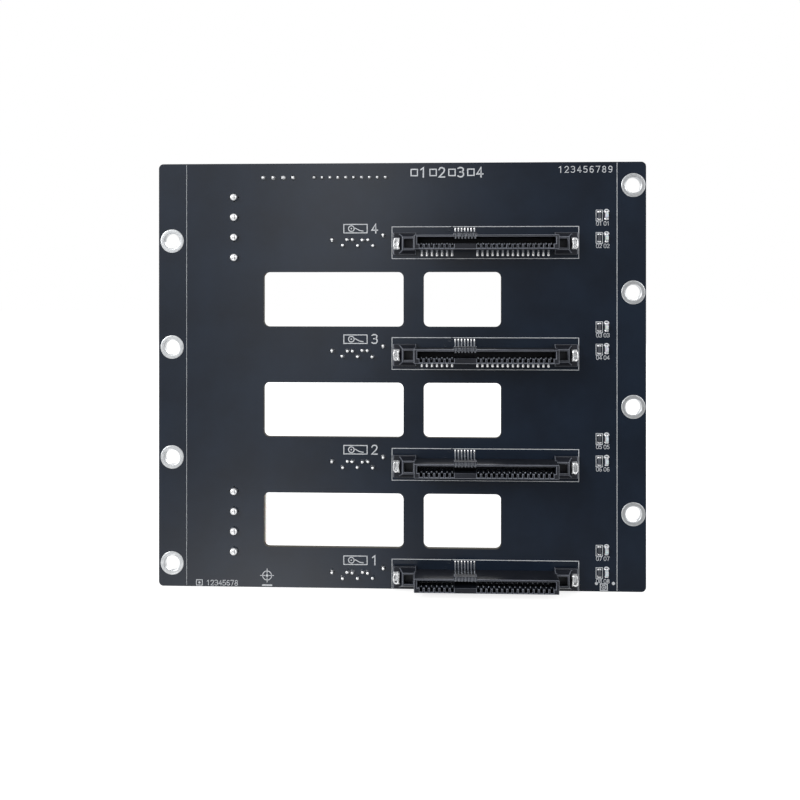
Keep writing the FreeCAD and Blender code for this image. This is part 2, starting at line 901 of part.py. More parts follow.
# ---------------------------------------------------------------- assembly
def repeated_rows(pieces, x, y, height_of):
    """One master of each piece on the lowest drive row, and linked copies above it."""
    for name, build in pieces.items():
        master = new_body(f"drive_1_{name}")
        build(master)
        place(master, x, y, height_of(0))
        for row in range(1, int(worked("drive_count"))):
            copy_of(master, f"drive_{row + 1}_{name}", x, y, height_of(row))


def power_headers():
    x = f"{LEFT} + power_offset"
    for name, build in POWER_PIECES.items():
        master = new_body(f"lower_{name}")
        build(master)
        place(master, x, "board_thickness", POWER_PLACES["lower"])
        copy_of(master, f"upper_{name}", x, "board_thickness", POWER_PLACES["upper"])


def top_headers():
    for name, kind in TOP_HEADERS.items():
        x = f"{LEFT} + {kind}_offset"
        for part_name, build in (("body", top_body), ("pins", top_pins)):
            body = new_body(f"{name}_{part_name}")
            build(body, kind)
            place(body, x, "board_thickness", TOP_ROW)


def check_document():
    """Stop if any object failed or any piece has no valid solid."""
    for item in doc.Objects:
        if "Invalid" in item.State or "Error" in item.State:
            raise RuntimeError(f"{item.Name} ({item.Label}) failed: {item.State}")
    for piece in PARTS:
        shape = Part.getShape(piece)
        if shape.isNull() or not shape.isValid() or not shape.Solids:
            raise RuntimeError(f"{piece.Label} has no valid solid")


def export_parts():
    os.makedirs("parts", exist_ok=True)
    for piece in PARTS:
        Part.getShape(piece).exportStep(f"parts/{piece.Label}.step")


board()
repeated_rows(SOCKET_PIECES, SOCKET_CENTRE, "0", drive_height)
repeated_rows(DATA_PIECES, DATA_CENTRE, "board_thickness", data_height)
power_headers()
top_headers()
status_lamps()
doc.recompute()
check_document()
export_parts()
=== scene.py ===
# %% [markdown]
# # Dressing a drive backplane board
#
# This lesson takes the measured solids of a server's drive backplane and gives them
# the finish of the real thing. Four drives push onto the long sockets on the front,
# cables leave from the back, and the board itself is a sheet of glass-epoxy with
# copper on it, covered in black solder mask and white print.
#
# The solids are a fixed frame: nothing in them moves or changes. What is added is
# what the solids leave out, which is ink, solder, plating and the look of each material.

# %% Load the fixed frame
import json
import math

import bmesh
import bpy
import numpy as np
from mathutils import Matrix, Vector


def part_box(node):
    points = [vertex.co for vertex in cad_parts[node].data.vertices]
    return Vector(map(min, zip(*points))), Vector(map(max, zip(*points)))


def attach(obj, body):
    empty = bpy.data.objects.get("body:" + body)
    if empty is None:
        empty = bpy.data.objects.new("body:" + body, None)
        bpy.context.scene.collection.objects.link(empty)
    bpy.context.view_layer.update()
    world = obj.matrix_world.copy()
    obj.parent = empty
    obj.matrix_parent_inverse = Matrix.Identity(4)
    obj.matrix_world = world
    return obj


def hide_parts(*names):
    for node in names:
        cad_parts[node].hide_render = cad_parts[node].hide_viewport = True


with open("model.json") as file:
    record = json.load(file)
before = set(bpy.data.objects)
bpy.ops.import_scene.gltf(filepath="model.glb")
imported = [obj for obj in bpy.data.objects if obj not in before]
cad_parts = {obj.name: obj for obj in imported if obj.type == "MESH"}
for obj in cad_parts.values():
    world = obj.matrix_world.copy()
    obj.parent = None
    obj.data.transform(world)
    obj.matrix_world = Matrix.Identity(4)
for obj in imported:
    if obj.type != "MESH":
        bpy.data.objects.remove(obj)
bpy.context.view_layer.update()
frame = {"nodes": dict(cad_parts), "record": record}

# %% [markdown]
# ## Working in millimetres
#
# A circuit board is drawn in millimetres, and Blender's own unit here is the metre.
# Every place below is worked out in millimetres from the boxes of the solids, and
# one factor turns it to metres when a mesh is made.

# %% Places taken from the solids
MM = 0.001
DRIVES = (1, 2, 3, 4)


def box_mm(node):
    """Lowest and highest corner of a node, in millimetres."""
    low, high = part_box(node)
    return np.array(low) / MM, np.array(high) / MM


mounts = {m["name"]: m for m in frame["record"]["mounts"]}
board_low, board_high = box_mm("board")
LEFT, RIGHT = board_low[0], board_high[0]
BOTTOM, TOP = board_low[2], board_high[2]
THICK = board_high[1]
slot_places = {n: np.array(mounts[f"drive_{n}_socket_mouth"]["pos_m"]) / MM for n in DRIVES}
print("board", RIGHT - LEFT, "by", TOP - BOTTOM, "mm, thick", THICK)

# %% [markdown]
# ## The camera
#
# The view is a close one, from a quarter of a metre, so the sockets show their upper
# sides low on the board and hide them higher up. The camera stands level and turns a
# little to the left. The picture is framed with lens shift instead of a tilt, which
# keeps the board's upright edges parallel.

# %% Camera
EYE = (69.26, -252.87, 28.93)
TURN = math.radians(2.526)
LENS = 45.153                  # millimetres, on a sensor 36 mm wide
SHIFT_DOWN = -0.1394           # parts of the picture's width

lens = bpy.data.cameras.new("camera")
lens.sensor_width = 36.0
lens.lens = LENS
lens.shift_y = SHIFT_DOWN
lens.clip_start = 0.01
camera = bpy.data.objects.new("camera", lens)
camera.location = [v * MM for v in EYE]
camera.rotation_euler = (math.radians(90), 0, TURN)
bpy.context.scene.collection.objects.link(camera)
bpy.context.scene.camera = camera
print("lens", LENS, "mm, shift", SHIFT_DOWN)

# %% [markdown]
# ## Colours and nodes
#
# A colour picker shows sRGB, while a shader works in linear light, so one function
# turns a hex code from the first to the second. Materials are made of nodes; one
# helper adds a node, sets its options and fills or joins its sockets. Patterns are
# thought of in millimetres, so two more turn a real size into a texture's scale.


# %% Colours
def linear(code):
    """sRGB hex to linear RGBA: c/12.92 below 0.04045, else ((c + 0.055)/1.055)^2.4."""
    c = np.array([int(code[i:i + 2], 16) for i in (1, 3, 5)]) / 255
    c = np.where(c <= 0.04045, c / 12.92, ((c + 0.055) / 1.055) ** 2.4)
    return (*c.tolist(), 1.0)


print("mid grey in linear light:", linear("#808080")[0])


# %% Nodes
def add(tree, kind, sockets=None, stops=(), **options):
    """Add a node; a socket's value is a number, a colour, or the output joined to it.

    stops are the (position, colour) pairs of a colour ramp, from low to high.
    """
    node = tree.nodes.new(kind)
    for name, value in options.items():
        setattr(node, name, value)
    for name, value in (sockets or {}).items():
        if isinstance(value, bpy.types.NodeSocket):
            tree.links.new(value, node.inputs[name])
        else:
            node.inputs[name].default_value = value
    for place, (position, colour) in enumerate(stops):
        if place == len(node.color_ramp.elements):
            node.color_ramp.elements.new(position)
        node.color_ramp.elements[place].position = position
        node.color_ramp.elements[place].color = linear(colour)
    return node


def start_material(name, **sockets):
    """A material with one Principled shader, and the object's coordinates."""
    material = bpy.data.materials.new(name)
    material.use_nodes = True
    tree = material.node_tree
    shader = tree.nodes["Principled BSDF"]
    for socket, value in sockets.items():
        shader.inputs[socket.replace("_", " ")].default_value = value
    place = add(tree, "ShaderNodeTexCoord").outputs["Object"]
    return material, tree, shader, place


# %% Sizes of patterns
def per_metre(size_mm):
    """Noise scale for blotches about size_mm across: one over that size in metres."""
    return 1.0 / (size_mm * MM)


def bands(period_mm):
    """Wave scale for one band every period_mm: a wave of scale 1 repeats at pi/10."""
    return math.pi / 10 / (period_mm * MM)


# %% [markdown]
# ## Solder mask on glass-epoxy
#
# The board is woven glass in epoxy resin. Its faces carry a thin black mask, printed
# wet and cured, which dries with a faint orange-peel ripple, and the weave below
# lifts it by a few thousandths of a millimetre. Its routed edges show the bare
# laminate: brownish resin with paler bundles of cut glass in layers.
#
# Two materials would do, but then the solid's faces would have to be sorted. One
# material does both here: the normal says whether a point lies on a face or an edge.

# %% Board material
MASK_DARK = "#131c29"
MASK_LIGHT = "#182332"
LAMINATE = "#2a271f"
CUT_GLASS = "#4a4538"
MASK_ROUGHNESS = 0.2
EDGE_ROUGHNESS = 0.9           # routed, so dull
ON_FACE = 0.25                 # how far along Y the normal of a face points, at least
CLOUD_MM = 14.0                # patches where the wet mask ran thicker
WEAVE_MM = 0.5                 # pitch of the glass bundles
RIPPLE_MM = 1.6
RIPPLE_DEPTH_MM = 0.03
PLY_MM = 0.19                  # thickness of one ply of glass cloth


def board_material():
    """Black mask on the faces, cut laminate on the edges."""
    material, tree, shader, place = start_material(
        "black_solder_mask_on_glass_epoxy", Specular_IOR_Level=0.45)
    cloud = add(tree, "ShaderNodeTexNoise", {
        "Vector": place, "Scale": per_metre(CLOUD_MM), "Detail": 3.0, "Roughness": 0.5})
    mask = add(tree, "ShaderNodeValToRGB", {"Fac": cloud.outputs["Fac"]},
               stops=((0.35, MASK_DARK), (0.65, MASK_LIGHT)))
    plies = add(tree, "ShaderNodeTexWave", {
        "Vector": place, "Scale": bands(PLY_MM), "Distortion": 1.2, "Detail": 2.0,
        "Detail Scale": 3.0}, bands_direction="Y")
    edge = add(tree, "ShaderNodeValToRGB", {"Fac": plies.outputs["Fac"]},
               stops=((0.3, LAMINATE), (0.8, CUT_GLASS)))
    normal = add(tree, "ShaderNodeSeparateXYZ", {
        "Vector": add(tree, "ShaderNodeTexCoord").outputs["Normal"]})
    facing = add(tree, "ShaderNodeMath", {0: normal.outputs["Y"]}, operation="ABSOLUTE")
    on_face = add(tree, "ShaderNodeMath", {0: facing.outputs[0], 1: ON_FACE},
                  operation="GREATER_THAN")
    colour = add(tree, "ShaderNodeMix", {
        "Factor": on_face.outputs[0], 6: edge.outputs["Color"], 7: mask.outputs["Color"]},
        data_type="RGBA")
    tree.links.new(colour.outputs[2], shader.inputs["Base Color"])
    gloss = add(tree, "ShaderNodeMapRange", {
        "Value": on_face.outputs[0], "To Min": EDGE_ROUGHNESS, "To Max": MASK_ROUGHNESS})
    tree.links.new(gloss.outputs["Result"], shader.inputs["Roughness"])
    ripple = add(tree, "ShaderNodeTexNoise", {
        "Vector": place, "Scale": per_metre(RIPPLE_MM), "Detail": 2.0})
    weave_x = add(tree, "ShaderNodeTexWave", {
        "Vector": place, "Scale": bands(WEAVE_MM), "Distortion": 0.3}, bands_direction="X")
    weave_z = add(tree, "ShaderNodeTexWave", {
        "Vector": place, "Scale": bands(WEAVE_MM), "Distortion": 0.3}, bands_direction="Z")
    weave = add(tree, "ShaderNodeMath", {
        0: weave_x.outputs["Fac"], 1: weave_z.outputs["Fac"]}, operation="MULTIPLY")
    height = add(tree, "ShaderNodeMath", {
        0: weave.outputs[0], 1: 0.25, 2: ripple.outputs["Fac"]}, operation="MULTIPLY_ADD")
    bump = add(tree, "ShaderNodeBump", {
        "Strength": 0.10, "Distance": RIPPLE_DEPTH_MM * MM, "Height": height.outputs[0]})
    tree.links.new(bump.outputs["Normal"], shader.inputs["Normal"])
    return material


mask_material = board_material()
print("made", mask_material.name)

# %% [markdown]
# ## Moulded plastics
#
# Sockets and pin headers are injection moulded from glass-filled polymer that
# survives the soldering oven. The mould is spark-eroded, so the surface is satin
# with a fine grain, and the glass gives the black a faint grey bloom. The power
# headers are natural nylon: milky, a little glossier, and light passes into it. A flat
# colour would look like paper, so one slow noise drifts both colour and gloss. The
# real grain is a few hundredths of a millimetre, too fine to show, so it is drawn
# coarser.

# %% Plastic materials
DRIFT_MM = 5.0                 # size of the slow patches of colour and gloss
GLOSS_DRIFT = 0.05
GRAIN_STRENGTH = 0.35


def moulded_material(name, dark, light, roughness, grain_mm, depth_mm, **sockets):
    """Moulded plastic: slow colour drift, satin gloss that varies, fine eroded grain."""
    material, tree, shader, place = start_material(name, **sockets)
    drift = add(tree, "ShaderNodeTexNoise", {
        "Vector": place, "Scale": per_metre(DRIFT_MM), "Detail": 4.0})
    colour = add(tree, "ShaderNodeValToRGB", {"Fac": drift.outputs["Fac"]},
                 stops=((0.3, dark), (0.7, light)))
    tree.links.new(colour.outputs["Color"], shader.inputs["Base Color"])
    gloss = add(tree, "ShaderNodeMapRange", {
        "Value": drift.outputs["Fac"], "From Min": 0.3, "From Max": 0.7,
        "To Min": roughness - GLOSS_DRIFT, "To Max": roughness + GLOSS_DRIFT})
    tree.links.new(gloss.outputs["Result"], shader.inputs["Roughness"])
    grain = add(tree, "ShaderNodeTexNoise", {
        "Vector": place, "Scale": per_metre(grain_mm), "Detail": 3.0})
    bump = add(tree, "ShaderNodeBump", {
        "Strength": GRAIN_STRENGTH, "Distance": depth_mm * MM,
        "Height": grain.outputs["Fac"]})
    tree.links.new(bump.outputs["Normal"], shader.inputs["Normal"])
    return material


# %% The plastics of this board
socket_black = moulded_material(
    "glass_filled_lcp_black", "#11141c", "#191c25", 0.48, 0.25, 0.012, IOR=1.5,
    Specular_IOR_Level=0.32)
# This and the next two edge materials are paler than their faces: edge wear, and a painted
# highlight.
socket_edge_wear_and_highlight = moulded_material(
    "glass_filled_lcp_edge_wear_and_highlight", "#636771", "#757983", 0.34, 0.25, 0.006, IOR=1.55)
data_edge_wear_and_highlight = moulded_material(
    "glass_filled_nylon_edge_wear_and_highlight", "#26272a", "#323337", 0.36, 0.25, 0.006, IOR=1.5)
nylon_edge_wear_and_highlight = moulded_material(
    "nylon_66_edge_wear_and_highlight", "#e2dfd3", "#eceae0", 0.28, 0.3, 0.006, IOR=1.53,
    Subsurface_Weight=0.25, Subsurface_Scale=0.002)
data_black = moulded_material(
    "glass_filled_nylon_black", "#141517", "#1c1d20", 0.48, 0.25, 0.012, IOR=1.5)
header_black = moulded_material(
    "pbt_black", "#131416", "#1b1c1f", 0.4, 0.25, 0.01, IOR=1.55)
nylon_white = moulded_material(
    "nylon_66_natural", "#d9d5c6", "#e4e1d5", 0.36, 0.3, 0.01, IOR=1.53,
    Subsurface_Weight=0.25, Subsurface_Scale=0.002)
lamp_laminate = moulded_material(
    "bt_resin_laminate_white", "#b9bfc8", "#ced3da", 0.5, 0.2, 0.008, IOR=1.5)
print("materials so far:", len(bpy.data.materials))

# %% [markdown]
# ## Metals
#
# Every metal that shows is tin, or tin-rich solder. Plated contacts are bright and
# smooth, but their tin is drawn darker here: partly matt tin, partly a painted shade
# for the shadow that the sockets cast on the feet. Solder that flowed in the oven
# freezes with fine dendrites, so it is a shade rougher. The rings of the mounting holes
# were dipped in molten tin and levelled with hot air, which leaves shallow waves. A
# plain metallic surface would look like chrome, so one noise drifts colour and
# roughness together, and another makes the waves.

# %% Metal materials
DULLEST, BRIGHTEST = 0.08, -0.05        # added to the roughness in dark and light blotches
WAVE_STRENGTH = 0.6


def tin_material(name, dark, light, roughness, blotch_mm, wave_mm, wave_depth_mm):
    """Tin: metallic, colour and roughness drift together, surface gently uneven."""
    material, tree, shader, place = start_material(name, Metallic=1.0)
    blotch = add(tree, "ShaderNodeTexNoise", {
        "Vector": place, "Scale": per_metre(blotch_mm), "Detail": 5.0})
    colour = add(tree, "ShaderNodeValToRGB", {"Fac": blotch.outputs["Fac"]},
                 stops=((0.3, dark), (0.7, light)))
    tree.links.new(colour.outputs["Color"], shader.inputs["Base Color"])
    dull = add(tree, "ShaderNodeMapRange", {
        "Value": blotch.outputs["Fac"], "From Min": 0.3, "From Max": 0.7,
        "To Min": roughness + DULLEST, "To Max": roughness + BRIGHTEST})
    tree.links.new(dull.outputs["Result"], shader.inputs["Roughness"])
    wave = add(tree, "ShaderNodeTexNoise", {
        "Vector": place, "Scale": per_metre(wave_mm), "Detail": 2.0})
    bump = add(tree, "ShaderNodeBump", {
        "Strength": WAVE_STRENGTH, "Distance": wave_depth_mm * MM,
        "Height": wave.outputs["Fac"]})
    tree.links.new(bump.outputs["Normal"], shader.inputs["Normal"])
    return material


# %% The metals of this board
# Contact tin darker than plating: partly matt, partly painted shade for the sockets' shadow on
# the feet.
contact_tin_with_painted_shade = tin_material(
    "tin_plated_phosphor_bronze_with_painted_shade", "#7d8188", "#9b9fa7", 0.28, 1.2, 0.8, 0.01)
clip_tin = tin_material(
    "tin_plated_brass_bright", "#d8dadc", "#f4f5f6", 0.3, 0.8, 0.75, 0.12)
pin_tin = tin_material(
    "tin_plated_brass_matt", "#bdbfc2", "#dcdee0", 0.32, 1.2, 0.9, 0.01)
solder = tin_material(
    "tin_silver_solder", "#dadcde", "#f8f8f9", 0.25, 0.7, 0.5, 0.03)
levelled_tin = tin_material(
    "hot_air_levelled_tin", "#b9bcbf", "#dfe1e3", 0.34, 1.5, 1.3, 0.05)
print("materials so far:", len(bpy.data.materials))

# %% [markdown]
# ## Print, lamps and chips
#
# The print is white epoxy ink pushed through a screen: matt, slightly thin where the
# mesh of the screen touched. The lamps are tiny boards under a block of clear resin.
# The chip resistors are ceramic under dark glass, with tinned ends. Clear resin could
# be true glass, but at this size pale and softly lit inside looks the same, with less
# noise.

# %% Ink, resin and glass materials
SPECK_MM = 0.6                 # a screen's mesh is near 0.1 mm: drawn coarser, to show
RESIN_CLOUD_MM = 0.5


def ink_material():
    """White epoxy ink, thinner in specks where a little of the mask shows through."""
    material, tree, shader, place = start_material("epoxy_ink_white", Roughness=0.6)
    speck = add(tree, "ShaderNodeTexNoise", {
        "Vector": place, "Scale": per_metre(SPECK_MM), "Detail": 3.0})
    colour = add(tree, "ShaderNodeValToRGB", {"Fac": speck.outputs["Fac"]},
                 stops=((0.3, "#c4c8ce"), (0.6, "#dcdfe3")))
    tree.links.new(colour.outputs["Color"], shader.inputs["Base Color"])
    bump = add(tree, "ShaderNodeBump", {
        "Strength": 0.3, "Distance": 0.01 * MM, "Height": speck.outputs["Fac"]})
    tree.links.new(bump.outputs["Normal"], shader.inputs["Normal"])
    return material


def resin_material():
    """Clear resin over a white die cup: pale, glossy, soft inside."""
    material, tree, shader, place = start_material(
        "clear_epoxy_resin", Roughness=0.16, IOR=1.53, Subsurface_Weight=0.3,
        Subsurface_Scale=0.001, Coat_Weight=0.5, Coat_Roughness=0.08)
    cloud = add(tree, "ShaderNodeTexNoise", {
        "Vector": place, "Scale": per_metre(RESIN_CLOUD_MM), "Detail": 2.0})
    colour = add(tree, "ShaderNodeValToRGB", {"Fac": cloud.outputs["Fac"]},
                 stops=((0.35, "#d4dae2"), (0.65, "#f2f5f8")))
    tree.links.new(colour.outputs["Color"], shader.inputs["Base Color"])
    return material


chip_glass = moulded_material(
    "glass_coated_alumina", "#26282d", "#5a5e66", 0.3, 0.6, 0.01, IOR=1.52)
ink = ink_material()
resin = resin_material()
print("materials:", len(bpy.data.materials))

# %% [markdown]
# ## Give each solid its finish
#
# The solids keep their meshes. Only the material in each one's slot changes. It could
# be set node by node, but the slot name in the record already says what each is made
# of, so a table of those names is enough.

# %% Assign materials to the solids
FINISH_OF_SLOT = {
    "board": mask_material, "socket_plastic": socket_black, "contact_metal": contact_tin_with_painted_shade,
    "clip_metal": clip_tin, "pin_metal": pin_tin, "data_header_plastic": data_black,
    "power_header_plastic": nylon_white, "pin_header_plastic": header_black,
    "lamp_base": lamp_laminate, "lamp_lens": resin, "resistor": chip_glass,
}
for node in frame["nodes"].values():
    for place in node.material_slots:
        place.material = FINISH_OF_SLOT[place.material.name.split(".")[0]]
print("dressed", len(frame["nodes"]), "solids")

# %% [markdown]
# ## Surfaces from arrays
#
# A new piece is points worked out as one array, and faces that join neighbours in
# the grid of points. Curves with a bevel could draw the same stripes, but a formula
# places every point, and hundreds of strokes stay one light mesh. Three helpers cover
# the flat and the round pieces of a board: a turned shape for rings and solder, a
# ribbon for ink and tracks, and one function that gathers parts into a mesh.


# %% Faces between the points
def grid_faces(rows, columns, wrap_rows=False):
    """Quads of a grid: point (i, j) joins (i+1, j), (i+1, j+1) and (i, j+1).

    Every row closes on itself, and the last row meets the first if wrap_rows is set.
    """
    i = np.arange(rows if wrap_rows else rows - 1)[:, None]
    j = np.arange(columns)[None, :]
    i2, j2 = (i + 1) % rows, (j + 1) % columns
    quads = np.stack([i * columns + j, i2 * columns + j,
                      i2 * columns + j2, i * columns + j2], axis=-1)
    return quads.reshape(-1, 4)


print("a ring of 3 by 8 points has", len(grid_faces(3, 8)), "faces")

# %% Turned shapes
FRONT = (0.0, -1.0)            # where a face lies, and which way is out of it
BACK = (THICK, 1.0)


def turned(centre, profile, sides, face=FRONT, lean=(0.0, 0.0), closed=False):
    """Shape turned about an axis that leaves a face of the board at centre (x, z).

    At angle a, a profile point (r, h) goes to x = cx + r cos a + lean_x h,
    y = face + h outwards, z = cz + r sin a + lean_z h.
    """
    r, h = np.array(profile, float).T
    a = np.linspace(0, 2 * np.pi, sides, endpoint=False)
    x = centre[0] + r[:, None] * np.cos(a) + (lean[0] * h)[:, None]
    z = centre[1] + r[:, None] * np.sin(a) + (lean[1] * h)[:, None]
    y = np.broadcast_to(face[0] + face[1] * h[:, None], x.shape)
    points = np.stack([x, y, z], axis=-1).reshape(-1, 3)
    return points, grid_faces(len(r), sides, wrap_rows=closed)


# %% Ribbons
INK_LOW, INK_TOP = -0.01, 0.03          # a trace sits just in the board and stands proud


def ribbon(path, width, face=FRONT, closed=False):
    """Flat stripe of ink along a path of (x, z) points on one face of the board.

    Each point moves sideways by half the width along the mitre of its two runs. The
    section is base left, top left, top right, base right, with the top a little
    narrower, as ink dries. Open ends are rounded by two narrower stations.
    """
    p = np.array(path, float)
    if closed:
        before, after = p - np.roll(p, 1, 0), np.roll(p, -1, 0) - p
        narrow = np.ones(len(p))
    else:
        first, last = p[1] - p[0], p[-1] - p[-2]
        first, last = first / np.hypot(*first), last / np.hypot(*last)
        out = width * np.array([[0.5], [0.35]])
        p = np.vstack([p[0] - out * first, p, p[-1] + out[::-1] * last])
        narrow = np.ones(len(p))
        narrow[[0, 1, -2, -1]] = 0.35, 0.8, 0.8, 0.35
        step = np.diff(p, axis=0)
        before, after = np.vstack([step[:1], step]), np.vstack([step, step[-1:]])
    before = before / np.hypot(before[:, 0], before[:, 1])[:, None]
    after = after / np.hypot(after[:, 0], after[:, 1])[:, None]
    side = np.stack([-(before + after)[:, 1], (before + after)[:, 0]], axis=1)
    side = side / np.hypot(side[:, 0], side[:, 1])[:, None]
    mitre = 1 / np.maximum((side * np.stack([-before[:, 1], before[:, 0]], 1)).sum(1), 0.5)
    reach = side * (mitre * narrow * width / 2)[:, None]
    section = [(1.0, INK_LOW), (0.86, INK_TOP), (-0.86, INK_TOP), (-1.0, INK_LOW)]
    rows = [np.stack([p[:, 0] + k * reach[:, 0], np.full(len(p), face[0] + h * face[1]),
                      p[:, 1] + k * reach[:, 1]], axis=1) for k, h in section]
    points = np.stack(rows, axis=1).reshape(-1, 3)
    faces = grid_faces(len(p), 4, wrap_rows=closed)
    if not closed:
        end = len(points) - 4
        faces = np.vstack([faces, [[0, 1, 2, 3], [end + 3, end + 2, end + 1, end]]])
    return points, faces


# %% Gather parts into a piece
WELD_MM = 0.0005


def make_piece(name, parts, material, smooth=False):
    """Join parts into one closed mesh in metres that rides on the board."""
    counts = np.cumsum([0] + [len(points) for points, _ in parts])
    points = np.vstack([points for points, _ in parts]) * MM
    faces = np.vstack([faces + start for (_, faces), start in zip(parts, counts)])
    mesh = bpy.data.meshes.new(name)
    mesh.from_pydata(points.tolist(), [], faces.tolist())
    work = bmesh.new()
    work.from_mesh(mesh)
    bmesh.ops.remove_doubles(work, verts=work.verts, dist=WELD_MM * MM)
    bmesh.ops.recalc_face_normals(work, faces=work.faces)
    work.to_mesh(mesh)
    work.free()
    mesh.polygons.foreach_set("use_smooth", [smooth] * len(mesh.polygons))
    mesh.materials.append(material)
    piece = bpy.data.objects.new(name, mesh)
    bpy.context.scene.collection.objects.link(piece)
    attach(piece, "root")
    print(name, len(mesh.polygons), "faces")


# %% [markdown]
# ## Softened edges on the mouldings
#
# A mould can't be cut perfectly sharp, and the light along a rounded edge is what
# makes a black moulding readable. Handling also rubs the edges smoother and a little
# paler than the faces, and the edges are drawn paler still: a painted highlight along
# the outline. The solid's mesh is loose triangles, so a copy is merged first. Then a
# Bevel rounds the edges that stand out, and gives what it makes a second material,
# paler for edge wear and a painted highlight. A bump could fake the round, but not
# along the outline, where the eye looks for it.

# %% Find the outer edges
SHARP = math.cos(math.radians(40))


def outer_edges(mesh):
    """1 for every edge that is sharp and stands out, 0 for the rest.

    An edge has two faces, with normals n1, n2 and centres c1, c2. It is sharp where
    n1 . n2 is below the cosine of 40 degrees, and stands out where n1 . (c2 - c1) < 0.
    """
    normal = np.empty(len(mesh.polygons) * 3)
    centre = np.empty(len(mesh.polygons) * 3)
    sides = np.empty(len(mesh.polygons), np.int32)
    edge = np.empty(len(mesh.loops), np.int32)
    mesh.polygons.foreach_get("normal", normal)
    mesh.polygons.foreach_get("center", centre)
    mesh.polygons.foreach_get("loop_total", sides)
    mesh.loops.foreach_get("edge_index", edge)
    owner = np.repeat(np.arange(len(sides)), sides)
    first, second = owner[np.argsort(edge, kind="stable")].reshape(-1, 2).T
    normal, centre = normal.reshape(-1, 3), centre.reshape(-1, 3)
    sharp = (normal[first] * normal[second]).sum(1) < SHARP
    proud = (normal[first] * (centre[second] - centre[first])).sum(1) < 0
    return (sharp & proud).astype(np.float32)


# %% Soften a solid
MERGE_MM = 0.002


def soften(node, radius, rubbed):
    """Copy of a solid with its outer edges rounded to radius, and paler there: wear and
    painted highlight.
    """
    solid = frame["nodes"][node]
    mesh = solid.data.copy()
    work = bmesh.new()
    work.from_mesh(mesh)
    bmesh.ops.remove_doubles(work, verts=work.verts, dist=MERGE_MM * MM)
    work.to_mesh(mesh)
    work.free()
    mesh.attributes.new("bevel_weight_edge", "FLOAT", "EDGE").data.foreach_set(
        "value", outer_edges(mesh))
    mesh.materials.append(rubbed)
    piece = bpy.data.objects.new(f"{node}_softened", mesh)
    bpy.context.scene.collection.objects.link(piece)
    bevel = piece.modifiers.new("rounded_edges", "BEVEL")
    bevel.width = radius * MM
    bevel.segments = 2
    bevel.limit_method = "WEIGHT"
    bevel.material = 1
    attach(piece, "root")
    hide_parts(node)


# %% Softened mouldings
SOCKET_EDGE, DATA_EDGE, POWER_EDGE, STRIP_EDGE = 0.16, 0.12, 0.3, 0.15      # radii, mm
# Each rounded edge takes the paler material: edge wear and a painted highlight along the
# outline.
for n in DRIVES:
    soften(f"drive_{n}_socket_housing", SOCKET_EDGE, socket_edge_wear_and_highlight)
    soften(f"drive_{n}_data_header_housing", DATA_EDGE, data_edge_wear_and_highlight)
for row in ("lower", "upper"):
    soften(f"{row}_power_header_housing", POWER_EDGE, nylon_edge_wear_and_highlight)
for node in ("fan_header_body", "lamp_header_body"):
    soften(node, STRIP_EDGE, data_edge_wear_and_highlight)

# %% [markdown]
# ## Plated rings round the mounting holes
#
# Each screw passes through a hole whose wall is plated, with a bare ring of tinned
# copper on both faces. On a real board ring and wall are one piece of metal, like an
# eyelet, so one turned profile makes all of it: out over the front, down through the
# hole, and out over the back. Two flat rings would leave the wall bare, and it shows.

# %% Mounting rings
RING_RADIUS = 3.0
RING_LIFT = 0.06
WALL = 0.05


def screw_centres():
    """Centre (x, z) and radius of each hole: half a bolt pattern's spacing from its place."""
    for mount in mounts.values():
        if mount["kind"] == "bolt_pattern":
            x, _, z = np.array(mount["pos_m"]) / MM
            half = mount["dims"]["spacing_y_mm"] / 2
            for side in (-1, 1):
                yield (x, z + side * half), mount["dims"]["hole_r_mm"]


def eyelet(centre, hole):
    """Closed profile (r, h) of an eyelet, h counted outwards from the front face."""
    back = -THICK
    inner = hole - WALL
    profile = [
        (RING_RADIUS, -0.01), (RING_RADIUS - 0.05, RING_LIFT * 0.8),
        (RING_RADIUS - 0.2, RING_LIFT), (hole + 0.25, RING_LIFT),
        (hole + 0.02, RING_LIFT * 0.6), (inner, -0.06), (inner, back + 0.06),
        (hole + 0.02, back - RING_LIFT * 0.6), (hole + 0.25, back - RING_LIFT),
        (RING_RADIUS - 0.2, back - RING_LIFT), (RING_RADIUS - 0.05, back - RING_LIFT * 0.8),
        (RING_RADIUS, back + 0.01), (hole + 0.03, back + 0.01), (hole + 0.03, -0.01)]
    return turned(centre, profile, sides=48, closed=True)


make_piece("mounting_rings", [eyelet(c, r) for c, r in screw_centres()],
           levelled_tin, smooth=True)

# %% [markdown]
# ## Solder
#
# Pins that pass through the board end in small cones of solder on the front: the
# metal climbs the pin and curves out to the pad. The heavy power pins end in round
# domes. Metaballs would flow together as solder does, but dozens of them are slow and
# hard to steer. Each joint is a curve turned about its pin instead, the shape that
# surface tension gives. No two are quite alike, so a seeded draw sets size and lean.


# %% Find the pin ends
def loose_points(node):
    """Points of each separate solid in a node, in mm.

    Points that share a triangle share the lowest label, until no label changes.
    """
    mesh = frame["nodes"][node].data
    points = np.empty(len(mesh.vertices) * 3, np.float32)
    mesh.vertices.foreach_get("co", points)
    points, same = np.unique(np.round(points.reshape(-1, 3) / MM, 3), axis=0,
                             return_inverse=True)
    mesh.calc_loop_triangles()
    corners = np.empty(len(mesh.loop_triangles) * 3, np.int32)
    mesh.loop_triangles.foreach_get("vertices", corners)
    triangles = same.ravel()[corners].reshape(-1, 3)
    label = np.arange(len(points))
    while True:
        new = label.copy()
        np.minimum.at(new, triangles.ravel(), np.repeat(label[triangles].min(1), 3))
        new = new[new]
        if (new == label).all():
            return [points[label == k] for k in np.unique(label)]
        label = new


